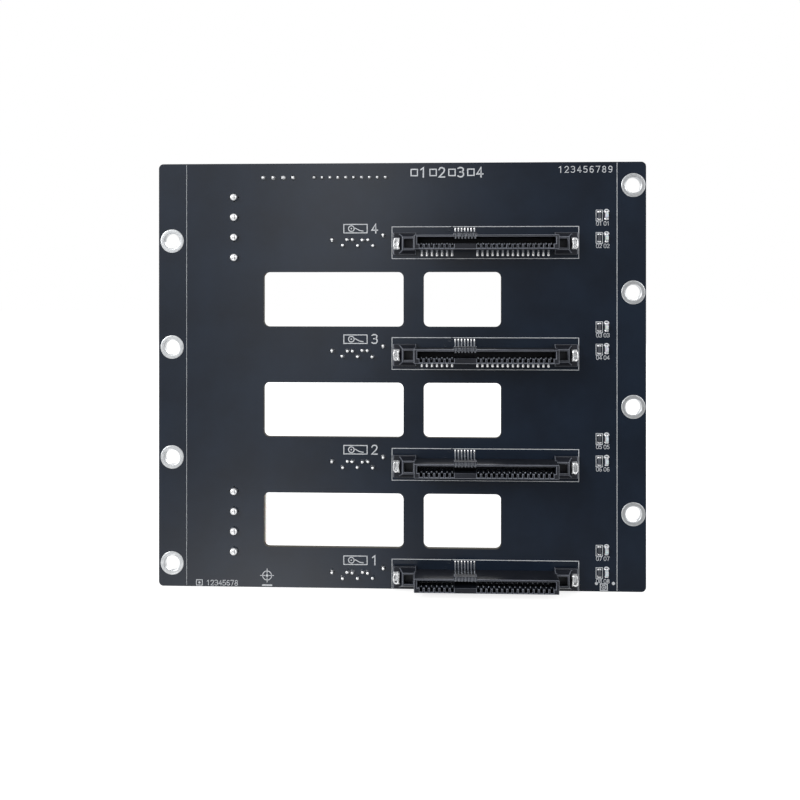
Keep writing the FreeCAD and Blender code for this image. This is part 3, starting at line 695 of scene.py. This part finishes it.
def front_tips(node):
    """Centre (x, z), half width and reach of every pin end on the front.

    They are read from the box round the points that stand more than 0.2 mm out of it.
    """
    for points in loose_points(node):
        tip = points[points[:, 1] < -0.2]
        middle = (tip.min(0) + tip.max(0)) / 2
        yield (middle[0], middle[2]), (tip[:, 0].max() - tip[:, 0].min()) / 2, -tip[:, 1].min()


print("a data header shows", len(list(front_tips("drive_1_data_header_pins"))), "pin ends")

# %% Shapes of the joints
draw = np.random.default_rng(7)


def cone_joint(centre, pin, reach, pad):
    """Meniscus: r = pin + (pad - pin)(1 - t)^2.2 while h climbs to t times the reach."""
    pad = pad * draw.uniform(0.92, 1.1)
    t = np.linspace(0, 1, 6)
    r = pin + (pad - pin) * (1 - t) ** 2.2
    h = t * (reach + 0.05) * draw.uniform(0.95, 1.05)
    a = np.linspace(0, np.pi / 2, 5)[1:]
    profile = [(pad, -0.02), *zip(r, h + 0.02),
               *zip(pin * np.cos(a), h[-1] + 0.02 + 0.7 * pin * np.sin(a))]
    return turned(centre, profile, sides=14, lean=draw.uniform(-0.12, 0.12, 2))


def dome_joint(centre, reach, pad):
    """Plump dome over a heavy pin: r = pad cos(a)^(2/3) while h = lift sin(a)^(2/3)."""
    lift = (reach + 0.12) * draw.uniform(0.97, 1.05)
    pad = pad * draw.uniform(0.95, 1.05)
    a = np.linspace(0, np.pi / 2, 9)[:-1]
    profile = [(pad, -0.02), *zip(pad * np.cos(a) ** (2 / 3), lift * np.sin(a) ** (2 / 3)),
               (0, lift)]
    return turned(centre, profile, sides=24, lean=draw.uniform(-0.05, 0.05, 2))


# %% Solder joints of the through pins
DATA_PIN, DATA_CLIP, THROUGH_PAD = 0.38, 0.36, 0.56     # radii of tail, leg and pad, mm
POWER_PAD = 1.02
TOP_ROW_PADS = (("fan", THROUGH_PAD), ("lamp", 0.46))
for n in DRIVES:
    joints = [cone_joint(c, DATA_PIN, reach, THROUGH_PAD)
              for c, _, reach in front_tips(f"drive_{n}_data_header_pins")]
    joints += [cone_joint(c, DATA_CLIP, reach, THROUGH_PAD)
               for c, _, reach in front_tips(f"drive_{n}_data_header_clips")]
    make_piece(f"drive_{n}_data_header_solder", joints, solder, smooth=True)
for end in ("lower", "upper"):
    joints = [dome_joint(c, reach, POWER_PAD)
              for c, _, reach in front_tips(f"{end}_power_header_pins")]
    make_piece(f"{end}_power_header_solder", joints, solder, smooth=True)
for kind, pad in TOP_ROW_PADS:
    joints = [cone_joint(c, half * 0.9, reach * 0.9, pad)
              for c, half, reach in front_tips(f"{kind}_header_pins")]
    make_piece(f"{kind}_header_solder", joints, solder, smooth=True)

# %% [markdown]
# ## Solder under the contact feet
#
# The springs' feet lie flat on their pads, and the oven melts a printed patch of solder
# round each one. It is a low puddle, narrow at the heel and wide at the toe, where more
# paste lies free. A scaled sphere would be too round, so a rounded rectangle shrinks
# ring by ring as it rises.

# %% Solder puddles of the surface contacts
FEET = (                       # kind, half width, toe up (1) or down (-1), pad past foot
    ("signal", 0.35, -1, 0.04), ("power", 0.35, -1, 0.04), ("port", 0.21, 1, 0.1))
FOOT_LIFT = 0.11


def puddle(x, z, half_x, half_z, lift, toe):
    """Low mound on a pad: at angle a and ring s, a rounded rectangle scaled by s.

    Outline: x = half_x sgn(cos a)|cos a|^0.5, z the same with sin a and half_z. With a
    toe, up (1) or down (-1) the board, x is also multiplied by 0.3 + 0.76 t^2, where t
    runs from 0 at the heel to 1 at the toe. Height: lift (1 - s^3)^0.6, and the rim dips
    just under the board's face.
    """
    a = np.linspace(0, 2 * np.pi, 16, endpoint=False)
    s = np.array([1.0, 0.97, 0.8, 0.45, 0.0])[:, None]
    across = np.sign(np.cos(a)) * np.abs(np.cos(a)) ** 0.5
    along = np.sign(np.sin(a)) * np.abs(np.sin(a)) ** 0.5
    wide = 1.0 - abs(toe) * (0.7 - 0.76 * ((1 + toe * along) / 2) ** 2)
    height = lift * (1 - s ** 3) ** 0.6
    height[0] = -0.02
    points = np.stack([x + half_x * wide * s * across, -height + 0 * across,
                       z + half_z * s * along], axis=-1).reshape(-1, 3)
    return points, grid_faces(5, 16)


def foot_puddles(node, half_x, toe, past):
    """One puddle under the foot of each contact: the part that lies on the board."""
    for points in loose_points(node):
        foot = points[points[:, 1] > -0.05]
        low, high = foot.min(0), foot.max(0)
        yield puddle((low[0] + high[0]) / 2, (low[2] + high[2]) / 2,
                     half_x * draw.uniform(0.95, 1.05), (high[2] - low[2]) / 2 + past,
                     FOOT_LIFT * draw.uniform(0.85, 1.1), toe)


for n in DRIVES:
    feet = []
    for kind, *foot in FEET:
        feet += foot_puddles(f"drive_{n}_{kind}_contacts", *foot)
    make_piece(f"drive_{n}_foot_solder", feet, solder, smooth=True)

# %% [markdown]
# ## Solder on the hold-down clips
#
# A metal clip at each end of a socket takes the push of the drive, so it is soldered
# well, and the metal freezes in an uneven ring on its outer face: the bright broken
# line that the eye finds first. A plain torus looks machined, so its section swells
# and shrinks with a few slow waves.

# %% Solder on the hold-down clips
BEAD = 0.24                    # radius of the ring's section, before the waves


def clip_bead(points):
    """Uneven ring of solder on the outer face of a clip.

    Its middle line is x = a sgn(cos t)|cos t|^0.6, z = b sgn(sin t)|sin t|^0.6, and
    round that a circle whose radius swells and shrinks with a few slow waves of t.
    """
    low, high = points.min(0), points.max(0)
    middle, half = (low + high) / 2, (high - low) / 2
    t = np.linspace(0, 2 * np.pi, 28, endpoint=False)[:, None]
    a = np.linspace(0, 2 * np.pi, 8, endpoint=False)[None, :]
    waves = sum(draw.uniform(0.03, 0.12) * np.sin(k * t + draw.uniform(0, 6))
                for k in (2, 3, 5, 8))
    radius = BEAD * (1 + 1.6 * waves)
    out_x, out_z = np.cos(t), np.sin(t)
    x = np.sign(out_x) * np.abs(out_x) ** 0.6 * (half[0] - BEAD)
    z = np.sign(out_z) * np.abs(out_z) ** 0.6 * (half[2] - 0.2)
    ring_points = np.stack([
        middle[0] + x + radius * np.cos(a) * out_x,
        low[1] - 0.02 + radius * np.sin(a) * 0.8,
        middle[2] + z + radius * np.cos(a) * out_z], axis=-1).reshape(-1, 3)
    return ring_points, grid_faces(28, 8, wrap_rows=True)


for n in DRIVES:
    make_piece(f"drive_{n}_clip_solder",
               [clip_bead(points) for points in loose_points(f"drive_{n}_socket_clips")],
               solder, smooth=True)

# %% [markdown]
# ## Solder at the ends of the small parts
#
# Lamps and chip resistors have a metal cap at both ends, and solder climbs it from the
# pad. Seen from the front only the mound beyond the end shows, so the same puddle
# without a toe does, set half under the end.

# %% Solder fillets of the lamps and chips
CAP_HALF = 0.48                # half the width of a cap


def end_fillets(node):
    """A mound at both ends of every small part, half under its end face."""
    for points in loose_points(node):
        low, high = points.min(0), points.max(0)
        for z in (low[2] - 0.06, high[2] + 0.06):
            yield puddle((low[0] + high[0]) / 2, z, CAP_HALF * draw.uniform(1.05, 1.2), 0.3,
                         0.3 * draw.uniform(0.8, 1.1), 0)


make_piece("lamp_solder", [*end_fillets("lamp_bases")], solder, smooth=True)
make_piece("chip_solder", [*end_fillets("resistors")], solder, smooth=True)

# %% [markdown]
# ## Rounded noses on the spring contacts
#
# A contact that a drive slides over has a smooth rounded nose, pressed into the strip
# where it bends, so it wipes the drive's pad without scratching it. The noses are the
# only part of the springs that catch the light inside the slot, so an ellipsoid let
# into each strip is enough, and the strips stay as they are.

# %% Contact noses
NOSE = (0.26, 0.5, 0.27)       # half sizes: across, along the strip, and out of it
NOSE_DOWN, NOSE_IN = 0.3, 0.18          # its centre, from the top of the crown


def nose(centre):
    """Ellipsoid: x = a cos v cos u, y = b cos v sin u, z = c sin v, about its centre."""
    u = np.linspace(0, 2 * np.pi, 12, endpoint=False)
    v = np.linspace(-np.pi / 2, np.pi / 2, 7)[:, None]
    points = np.stack([NOSE[0] * np.cos(v) * np.cos(u), NOSE[1] * np.cos(v) * np.sin(u),
                       NOSE[2] * np.sin(v) + 0 * u], axis=-1).reshape(-1, 3)
    return points + centre, grid_faces(7, 12)


def noses(node):
    """One nose at the crown of each spring, which is its highest point in the slot."""
    for points in loose_points(node):
        deep = points[points[:, 1] < -3]
        crown = deep[deep[:, 2] > deep[:, 2].max() - 0.01].mean(0)
        yield nose((crown[0], crown[1] - NOSE_DOWN, crown[2] - NOSE_IN))


for n in DRIVES:
    make_piece(f"drive_{n}_contact_noses",
               [*noses(f"drive_{n}_signal_contacts"), *noses(f"drive_{n}_power_contacts")],
               contact_tin_with_painted_shade, smooth=True)

# %% [markdown]
# ## The white print
#
# A board house prints outlines and numbers in one pass of white ink. Frames show
# where the long sockets sit, a small drive with its number names each place, and
# arches and boxes mark the lamps and resistors. Text objects would bring a font's
# shapes with them, so the figures are drawn the way a plotter draws them, as strokes
# of one width.

# %% Strokes of the figures
FIGURE_STEP = 0.82             # from one figure to the next, in heights
FIGURES = {                    # strokes through points (x, z), for a height of 1
    "0": [[(0, .25), (0, .75), (.14, 1), (.46, 1), (.6, .75), (.6, .25), (.46, 0), (.14, 0),
           (0, .25)]],
    "1": [[(.08, .8), (.34, 1), (.34, 0)]],
    "2": [[(0, .78), (.12, .96), (.3, 1), (.5, .94), (.59, .76), (.5, .52), (0, 0), (.6, 0)]],
    "3": [[(.02, .92), (.2, 1), (.42, .99), (.57, .86), (.55, .65), (.4, .54), (.2, .53)],
          [(.4, .54), (.58, .42), (.6, .2), (.45, .03), (.2, 0), (0, .1)]],
    "4": [[(.44, 0), (.44, 1), (0, .3), (.64, .3)]],
    "5": [[(.54, 1), (.08, 1), (.04, .56), (.3, .62), (.54, .52), (.6, .28), (.48, .05),
           (.24, 0), (0, .1)]],
    "6": [[(.52, .94), (.3, 1), (.1, .86), (.01, .5), (.04, .18), (.2, .01), (.42, .01),
           (.58, .18), (.57, .42), (.4, .57), (.16, .54), (.02, .38)]],
    "7": [[(0, 1), (.6, 1), (.22, 0)]],
    "8": [[(.3, .54), (.1, .66), (.08, .88), (.24, 1), (.4, 1), (.54, .88), (.52, .66),
           (.3, .54), (.06, .4), (.02, .16), (.18, 0), (.42, 0), (.58, .16), (.54, .4),
           (.3, .54)]],
    "9": [[(.06, .06), (.28, 0), (.48, .14), (.59, .5), (.56, .84), (.4, 1), (.18, 1),
           (.02, .82), (.03, .58), (.2, .44), (.44, .46), (.58, .62)]],
}


def figure(text, x, z, height, width, face=FRONT):
    """Plain number that starts at (x, z) and reads left to right from outside.

    Strokes are scaled by height, moved on by a step for each place, and have their x
    turned round on the back.
    """
    parts = []
    for place, sign in enumerate(text):
        for stroke in FIGURES[sign]:
            points = np.array(stroke) * height + (place * FIGURE_STEP * height, 0)
            points = points * (-face[1], 1) + (x, z)
            parts.append(ribbon(points, width, face))
    return parts


print("figures", " ".join(FIGURES))

# %% Arcs, frames and dots
LINE = 0.24                    # width of a stroke


def arc(x, z, radius, start, stop, count):
    """Points (x + r cos a, z + r sin a), with a from start to stop in degrees."""
    a = np.radians(np.linspace(start, stop, count))
    return np.stack([x + radius * np.cos(a), z + radius * np.sin(a)], axis=1)


def frame_line(x0, z0, x1, z1, width=LINE, face=FRONT):
    """Closed rectangle through two opposite corners."""
    return ribbon([(x0, z0), (x1, z0), (x1, z1), (x0, z1)], width, face, closed=True)


def ring(x, z, radius, width=LINE):
    """Closed circle: an arc of 360 degrees without its last point."""
    return ribbon(arc(x, z, radius, 0, 360, 21)[:-1], width, closed=True)


def spot(x, z, radius, face=FRONT):
    """Filled dot of ink: a low turned disc with a sloping rim."""
    profile = [(0, INK_LOW), (radius, INK_LOW), (radius * 0.9, INK_TOP), (0, INK_TOP)]
    return turned((x, z), profile, 14, face)


# %% [markdown]
# ## Print at each drive
#
# The frame shows the assembler how far the socket reaches, and runs off the board at
# the lowest one. Left of it stand a small drive with its disc and arm, and the bay's
# number. Print could be a picture laid on the board, but real ink stands a little
# proud and keeps its edge at any distance, so it is a mesh.

# %% Print that belongs to each drive
FRAME_HALF = 23.4
FRAME_ABOVE, FRAME_BELOW = 3.80, 4.23
FRAME_LINE = 0.17
EDGE_GAP = 0.05                         # from the open frame's legs to the board's edge
SIGN_LEFT, SIGN_UP = 35.6, 2.3          # from the slot's centre to the sign's low corner
SIGN_SIZE = (5.9, 2.15)
DISC, DISC_RADIUS, HUB = (1.9, 1.08), 0.72, 0.2        # place in the sign, and radii
ARM = np.array([(4.9, 0.45), (4.0, 0.6), (2.9, 1.2)])
NUMBER_LEFT, NUMBER = 28.5, (2.25, 0.32)                # place, and height and stroke


def drive_print(n):
    """Frame round a socket, open below at the board's edge; small drive; bay number."""
    x, _, z = slot_places[n]
    left, right, top, low = x - FRAME_HALF, x + FRAME_HALF, z + FRAME_ABOVE, z - FRAME_BELOW
    if low > BOTTOM:
        parts = [frame_line(left, low, right, top, FRAME_LINE)]
    else:
        edge = BOTTOM + EDGE_GAP + FRAME_LINE / 2
        parts = [ribbon([(left, edge), (left, top), (right, top), (right, edge)], FRAME_LINE)]
    sign_x, sign_z = x - SIGN_LEFT, z + SIGN_UP
    parts.append(frame_line(sign_x, sign_z, sign_x + SIGN_SIZE[0], sign_z + SIGN_SIZE[1]))
    parts.append(ring(sign_x + DISC[0], sign_z + DISC[1], DISC_RADIUS))
    parts.append(spot(sign_x + DISC[0], sign_z + DISC[1], HUB))
    parts.append(ribbon(ARM + (sign_x, sign_z), LINE))
    parts += figure(str(n), x - NUMBER_LEFT, sign_z, *NUMBER)
    return parts


# %% Print at the lamps and chips
ARCH, ARCH_LINE = 0.55, 0.32            # radius and stroke of the arch over a lamp
CHIP_GAP = 0.4                          # from a chip to the box round it
SMALL, SMALL_LINE = 0.94, 0.13          # height and stroke of the part numbers


def lamp_marks():
    """Arch over every lamp, box round every chip resistor, a number below each."""
    lamps = sorted(loose_points("lamp_bases"), key=lambda p: -p[:, 2].max())
    chips = sorted(loose_points("resistors"), key=lambda p: -p[:, 2].max())
    for count, (lamp, chip) in enumerate(zip(lamps, chips), 1):
        low, high = lamp.min(0), lamp.max(0)
        middle = (low + high) / 2
        marks = [ribbon(arc(middle[0], high[2] + 0.15, ARCH, 10, 170, 9), ARCH_LINE)]
        marks += figure(f"{count:02d}", middle[0] - 0.66, low[2] - 1.66, SMALL, SMALL_LINE)
        low, high = chip.min(0) - CHIP_GAP, chip.max(0) + CHIP_GAP
        marks.append(frame_line(low[0], low[2] - 0.15, high[0], high[2] + 0.15, 0.16))
        marks += figure(f"{count:02d}", low[0] + 0.06, low[2] - 1.26, SMALL, SMALL_LINE)
        yield middle[2], marks


marks_of = {n: [] for n in DRIVES}
for height, marks in lamp_marks():
    nearest = min(DRIVES, key=lambda n: abs(slot_places[n][2] + 3 - height))
    marks_of[nearest] += marks
for n in DRIVES:
    make_piece(f"drive_{n}_print", drive_print(n) + marks_of[n], ink)

# %% [markdown]
# ## Print that belongs to the board
#
# Two long lines mark the strips that the cage covers. Tick boxes with plain numbers,
# two rows of figures and a target for lining up the print fill the places where a
# maker would write. They are the same strokes as before, each set at its own place.

# %% Board print
STRIP_LINES = ((LEFT + 7.14, 0.09), (RIGHT - 7.2, 0.15))     # place and width of each
PRINT_MARGIN = 0.3                      # how far print keeps from the board's edge
TICKS, TICK_STEP = (LEFT + 64.31, TOP - 3.6), 4.75           # first tick box, and pitch
ROW, ROW_STEP = (RIGHT - 21.69, TOP - 2.6), 1.55             # first figure, and pitch
CODE = (LEFT + 9.66, BOTTOM + PRINT_MARGIN)                  # box before the low figures
TARGET, CORNER = (LEFT + 27.76, BOTTOM + 2.95), (RIGHT - 10.49, BOTTOM + 1.1)
CROSS = np.array([[1.65], [0.55]])      # how far out each arm of the target's cross runs
CROSS_WAYS = ((-1, 0), (1, 0), (0, -1), (0, 1))


def board_print():
    """Long lines, tick boxes, two rows of figures, a target and corner marks."""
    ends = (BOTTOM + PRINT_MARGIN, TOP - PRINT_MARGIN)
    parts = [ribbon([(x, ends[0]), (x, ends[1])], width) for x, width in STRIP_LINES]
    for count in range(4):
        x, z = TICKS[0] + count * TICK_STEP, TICKS[1]
        parts.append(frame_line(x, z + 0.35, x + 1.6, z + 1.95, 0.3))
        parts += figure(str(count + 1), x + 2.3, z, 2.35, 0.36)
    for count in range(9):
        parts += figure(str(count + 1), ROW[0] + count * ROW_STEP, ROW[1], 1.5, 0.2)
    x, z = CODE
    parts += [frame_line(x, z, x + 1.5, z + 1.35, 0.2), spot(x + 0.75, z + 0.67, 0.3)]
    parts += figure("12345678", x + 2.65, z + 0.05, 1.25, 0.17)
    x, z = TARGET
    parts += [ring(x, z, 1.15, 0.22), spot(x, z, 0.35)]
    parts += [ribbon(CROSS * way + (x, z), 0.22) for way in CROSS_WAYS]
    parts.append(ribbon([(x - 1.1, BOTTOM + 0.5), (x + 1.1, BOTTOM + 0.5)], 0.45))
    x, z = CORNER
    parts += [frame_line(x - 0.85, z - 0.8, x + 0.85, z + 0.8, 0.24), ring(x, z, 0.5, 0.18),
              spot(x, z, 0.2), spot(x - 1.8, z + 0.9, 0.4), spot(x + 2.4, z + 0.95, 0.42)]
    return parts


make_piece("board_print", board_print(), ink)

# %% [markdown]
# ## Print on the back
#
# The back is where cables plug in, so a board house prints an outline round each
# header, a dot at its first pin, and a number. It reads from behind, so the strokes
# are mirrored. The places could be typed in, but worked out from the headers' own
# boxes they follow a header that moves.

# %% Back print
BAY_FIGURE = (2.2, 0.3)        # height and stroke of the numbers on the back


def header_outline(node, gap):
    """Rectangle a little outside a header, and a dot by its upper left pin from behind."""
    low, high = box_mm(node)
    low, high = low - gap, high + gap
    low[2] = max(low[2], BOTTOM + PRINT_MARGIN)
    return [frame_line(low[0], low[2], high[0], high[2], LINE, BACK),
            spot(high[0] + 0.8, high[2] - 0.5, 0.35, face=BACK)], low, high


def back_print():
    """Outlines, first-pin dots and numbers, all mirrored to read from behind."""
    parts = []
    for n in DRIVES:
        outline, low, high = header_outline(f"drive_{n}_data_header_housing", 0.5)
        parts += outline + figure(str(n), high[0] + 3.6, low[2] + 0.6, *BAY_FIGURE, BACK)
    for number, end in ((5, "lower"), (6, "upper")):
        outline, low, high = header_outline(f"{end}_power_header_housing", 0.4)
        base = high[2] + 0.8 if end == "lower" else low[2] - 3.0
        parts += outline + figure(str(number), high[0] - 2.0, base, *BAY_FIGURE, BACK)
    for number, node in enumerate(("fan_header_body", "lamp_header_body"), 7):
        outline, low, high = header_outline(node, 0.4)
        parts += outline + figure(str(number), high[0], low[2] - 2.8, *BAY_FIGURE, BACK)
    return parts


make_piece("back_print", back_print(), ink)

# %% [markdown]
# ## Tracks and vias
#
# Under the mask, copper tracks run in matched pairs from a data header towards the
# socket it serves, bend by 45 degrees, and dive through small plated vias. The mask
# follows them as a faint step. A bump could draw it, but the ribbons of the print do
# as well, in the mask's own material.

# %% Tracks and vias
TRACK = 0.28
PAIR_PITCH = 0.5               # between the two tracks of a pair
PAIR_STEP = 1.6                # from one pair to the next, at both ends
PAIR_RISE = (1.2, 3.0)         # how far above the slot each pair ends
BEND = 4.0                     # from the header to the bend
VIA_LEFT, VIA_STAGGER = 10.5, 0.6       # from the slot's centre to the first, and on


def pair_routes(n):
    """Two matched pairs: level runs from the header, a 45 degree bend, level to vias."""
    low, high = box_mm(f"drive_{n}_data_header_housing")
    x, _, z = slot_places[n]
    for pair, rise in enumerate(PAIR_RISE):
        for side in (0, 1):
            start = low[2] + 1.3 + pair * PAIR_STEP + side * PAIR_PITCH
            end = z + rise + side * PAIR_PITCH
            turn = high[0] + BEND - side * 0.2
            yield [(high[0] + 0.2, start), (turn, start), (turn + abs(end - start), end),
                   (x - VIA_LEFT + PAIR_STEP * pair + VIA_STAGGER * side, end)]


def via(x, z, face):
    """Shallow dimple of a plated hole under the mask: a raised land with a dip."""
    return turned((x, z), [(0.42, -0.01), (0.38, 0.03), (0.2, 0.035), (0.12, 0.005),
                           (0, 0.0)], 12, face)


for n in DRIVES:
    routes = list(pair_routes(n))
    tracks = [ribbon(route, TRACK, BACK) for route in routes]
    tracks += [via(*route[-1], face) for route in routes for face in (FRONT, BACK)]
    make_piece(f"drive_{n}_tracks", tracks, mask_material)

# %% [markdown]
# ## Floor
#
# The object stands on a plain white floor. A floor lit until it is white would need
# far more light, on the object too. This one is a grey that takes the shadow, and
# glows besides for rays from the camera, from a mirror or through glass.

# %% Floor
WHITE = linear("#ffffff")
FLOOR_HALF = 3.0               # metres
FLOOR_GREY = (0.5, 0.5, 0.5, 1.0)       # reflects half of the light
FLOOR_GLOW = 0.82              # with the light that falls on the grey, this makes white


def white_floor():
    """A square of floor at the object's lowest point, white, that keeps the shadow."""
    half, z = FLOOR_HALF, BOTTOM * MM
    mesh = bpy.data.meshes.new("floor")
    mesh.from_pydata([(-half, -half, z), (half, -half, z), (half, half, z), (-half, half, z)],
                     [], [(0, 1, 2, 3)])
    floor = bpy.data.objects.new("floor", mesh)
    bpy.context.scene.collection.objects.link(floor)
    material, tree, shader, _ = start_material(
        "floor_white", Base_Color=FLOOR_GREY, Roughness=0.9, Specular_IOR_Level=0.0,
        Emission_Color=WHITE)
    seen = add(tree, "ShaderNodeLightPath")
    camera_or_mirror = add(tree, "ShaderNodeMath", {
        0: seen.outputs["Is Camera Ray"], 1: seen.outputs["Is Glossy Ray"]},
        operation="MAXIMUM")
    clear = add(tree, "ShaderNodeMath", {
        0: camera_or_mirror.outputs[0], 1: seen.outputs["Is Transmission Ray"]},
        operation="MAXIMUM")
    glow = add(tree, "ShaderNodeMath", {0: clear.outputs[0], 1: FLOOR_GLOW},
               operation="MULTIPLY")
    tree.links.new(glow.outputs[0], shader.inputs["Emission Strength"])
    mesh.materials.append(material)
    floor.visible_glossy = False


white_floor()
print("floor at", BOTTOM, "mm")

# %% [markdown]
# ## Room and lamps
#
# The room is white to the camera, and lights the object at less than full strength.
# Three large soft lamps give the shapes a bright and a dark side. A glossy black board
# is a dim mirror, so what stands before it matters as much as the lamps: here a booth
# with a tall strip of light. That could be one more lamp between dark cards, but it is
# part of the world instead, where only mirrors see it and it lights nothing.

# %% Room
ROOM_LIGHT = 0.42              # strength where the room lights the object
STRIP_GAIN = 3.2               # brightness of a full white in BOOTH and HEIGHTS
IN_FRONT = (0.5, 0.8)          # cosines to straight ahead where the booth begins and ends
BOOTH = (                      # brightness against (x + 1) / 2 of the mirrored direction
    (0.20, "#b4b4b4"), (0.34, "#a0a0a0"), (0.39, "#a4a4a4"), (0.435, "#ffffff"),
    (0.462, "#fafafa"), (0.49, "#848484"), (0.53, "#5c5c5c"), (0.65, "#5a5a5a"),
    (0.78, "#a6a6a6"))
SWAY = (                       # the strip isn't straight: its shift against (z + 1) / 2
    (0.365, "#dadada"), (0.405, "#ececec"), (0.43, "#dfdfdf"), (0.46, "#cecece"),
    (0.50, "#bcbcbc"), (0.56, "#a4a4a4"))
SWAY_REACH = 0.1               # the shift between a black and a white stop of SWAY
HEIGHTS = (                    # brightness against (z + 1) / 2, multiplied in
    (0.36, "#f6f6f6"), (0.372, "#e2e2e2"), (0.384, "#b8b8b8"), (0.405, "#959595"),
    (0.43, "#8f8f8f"), (0.46, "#a1a1a1"), (0.51, "#c1c1c1"), (0.55, "#d6d6d6"))


def white_room():
    """White to the camera, in mirrors and through glass; softer where it lights things.

    What the front of the board mirrors is a booth: a tall strip of light left of the
    camera, mid grey beyond it, and dark cloth on the right. For a ray's direction
    (x, y, z) its strength is STRIP_GAIN times HEIGHTS at (z + 1)/2, times BOOTH at
    (x + 1)/2 + SWAY_REACH (SWAY - 1/2), with SWAY taken at (z + 1)/2 too.
    """
    world = bpy.data.worlds.new("room")
    world.use_nodes = True
    bpy.context.scene.world = world
    tree = world.node_tree
    seen = add(tree, "ShaderNodeLightPath")
    way = add(tree, "ShaderNodeSeparateXYZ", {
        "Vector": add(tree, "ShaderNodeTexCoord").outputs["Generated"]})
    across = add(tree, "ShaderNodeMath", {
        0: way.outputs["X"], 1: 0.5, 2: 0.5 - SWAY_REACH / 2}, operation="MULTIPLY_ADD")
    upright = add(tree, "ShaderNodeMath", {0: way.outputs["Z"], 1: 0.5, 2: 0.5},
                  operation="MULTIPLY_ADD")
    sway = add(tree, "ShaderNodeValToRGB", {"Fac": upright.outputs[0]}, stops=SWAY)
    swayed = add(tree, "ShaderNodeMath", {
        0: sway.outputs["Color"], 1: SWAY_REACH, 2: across.outputs[0]},
        operation="MULTIPLY_ADD")
    booth = add(tree, "ShaderNodeValToRGB", {"Fac": swayed.outputs[0]}, stops=BOOTH)
    tall = add(tree, "ShaderNodeValToRGB", {"Fac": upright.outputs[0]}, stops=HEIGHTS)
    both = add(tree, "ShaderNodeMath", {
        0: booth.outputs["Color"], 1: tall.outputs["Color"]}, operation="MULTIPLY")
    bright = add(tree, "ShaderNodeMath", {0: both.outputs[0], 1: STRIP_GAIN},
                 operation="MULTIPLY")
    ahead = add(tree, "ShaderNodeMapRange", {
        "Value": way.outputs["Y"], "From Min": -IN_FRONT[0], "From Max": -IN_FRONT[1]},
        interpolation_type="SMOOTHSTEP")
    mirror = add(tree, "ShaderNodeMix", {
        "Factor": ahead.outputs["Result"], "A": 1.0, "B": bright.outputs[0]})
    lights = add(tree, "ShaderNodeMix", {
        "Factor": seen.outputs["Is Glossy Ray"], "A": ROOM_LIGHT,
        "B": mirror.outputs["Result"]})
    clear = add(tree, "ShaderNodeMath", {
        0: seen.outputs["Is Camera Ray"], 1: seen.outputs["Is Transmission Ray"]},
        operation="MAXIMUM")
    strength = add(tree, "ShaderNodeMix", {
        "Factor": clear.outputs[0], "A": lights.outputs["Result"], "B": 1.0})
    background = tree.nodes["Background"]
    background.inputs["Color"].default_value = WHITE
    tree.links.new(strength.outputs["Result"], background.inputs["Strength"])


white_room()
print("room light", ROOM_LIGHT)

# %% Lamps
AIM = (0.05, 0, 0)             # near the middle of the board, in metres
LAMPS = {                      # place and side in metres, and watts
    "lamp_left": ((-0.72, -0.75, 0.42), 0.55, 7.0),
    "lamp_right": ((0.75, -0.8, 0.35), 0.5, 2.2),
    "lamp_behind": ((0.3, 0.9, 0.5), 0.6, 6.0),
}


def soft_lamp(name, place, side, watts):
    """Square area lamp at place that faces AIM.

    With d from AIM to place, it tilts by acos(d_z / |d|) and turns by atan2(d_y, d_x)
    and a quarter turn.
    """
    light = bpy.data.lights.new(name, "AREA")
    light.shape = "SQUARE"
    light.size = side
    light.energy = watts
    lamp = bpy.data.objects.new(name, light)
    lamp.location = place
    away = np.array(place) - np.array(AIM)
    lamp.rotation_euler = (math.acos(away[2] / np.linalg.norm(away)), 0,
                           math.atan2(away[1], away[0]) + math.pi / 2)
    bpy.context.scene.collection.objects.link(lamp)


for name, (place, side, watts) in LAMPS.items():
    soft_lamp(name, place, side, watts)
bpy.context.scene.view_settings.view_transform = "Standard"
print("lamps:", len(bpy.data.lights))
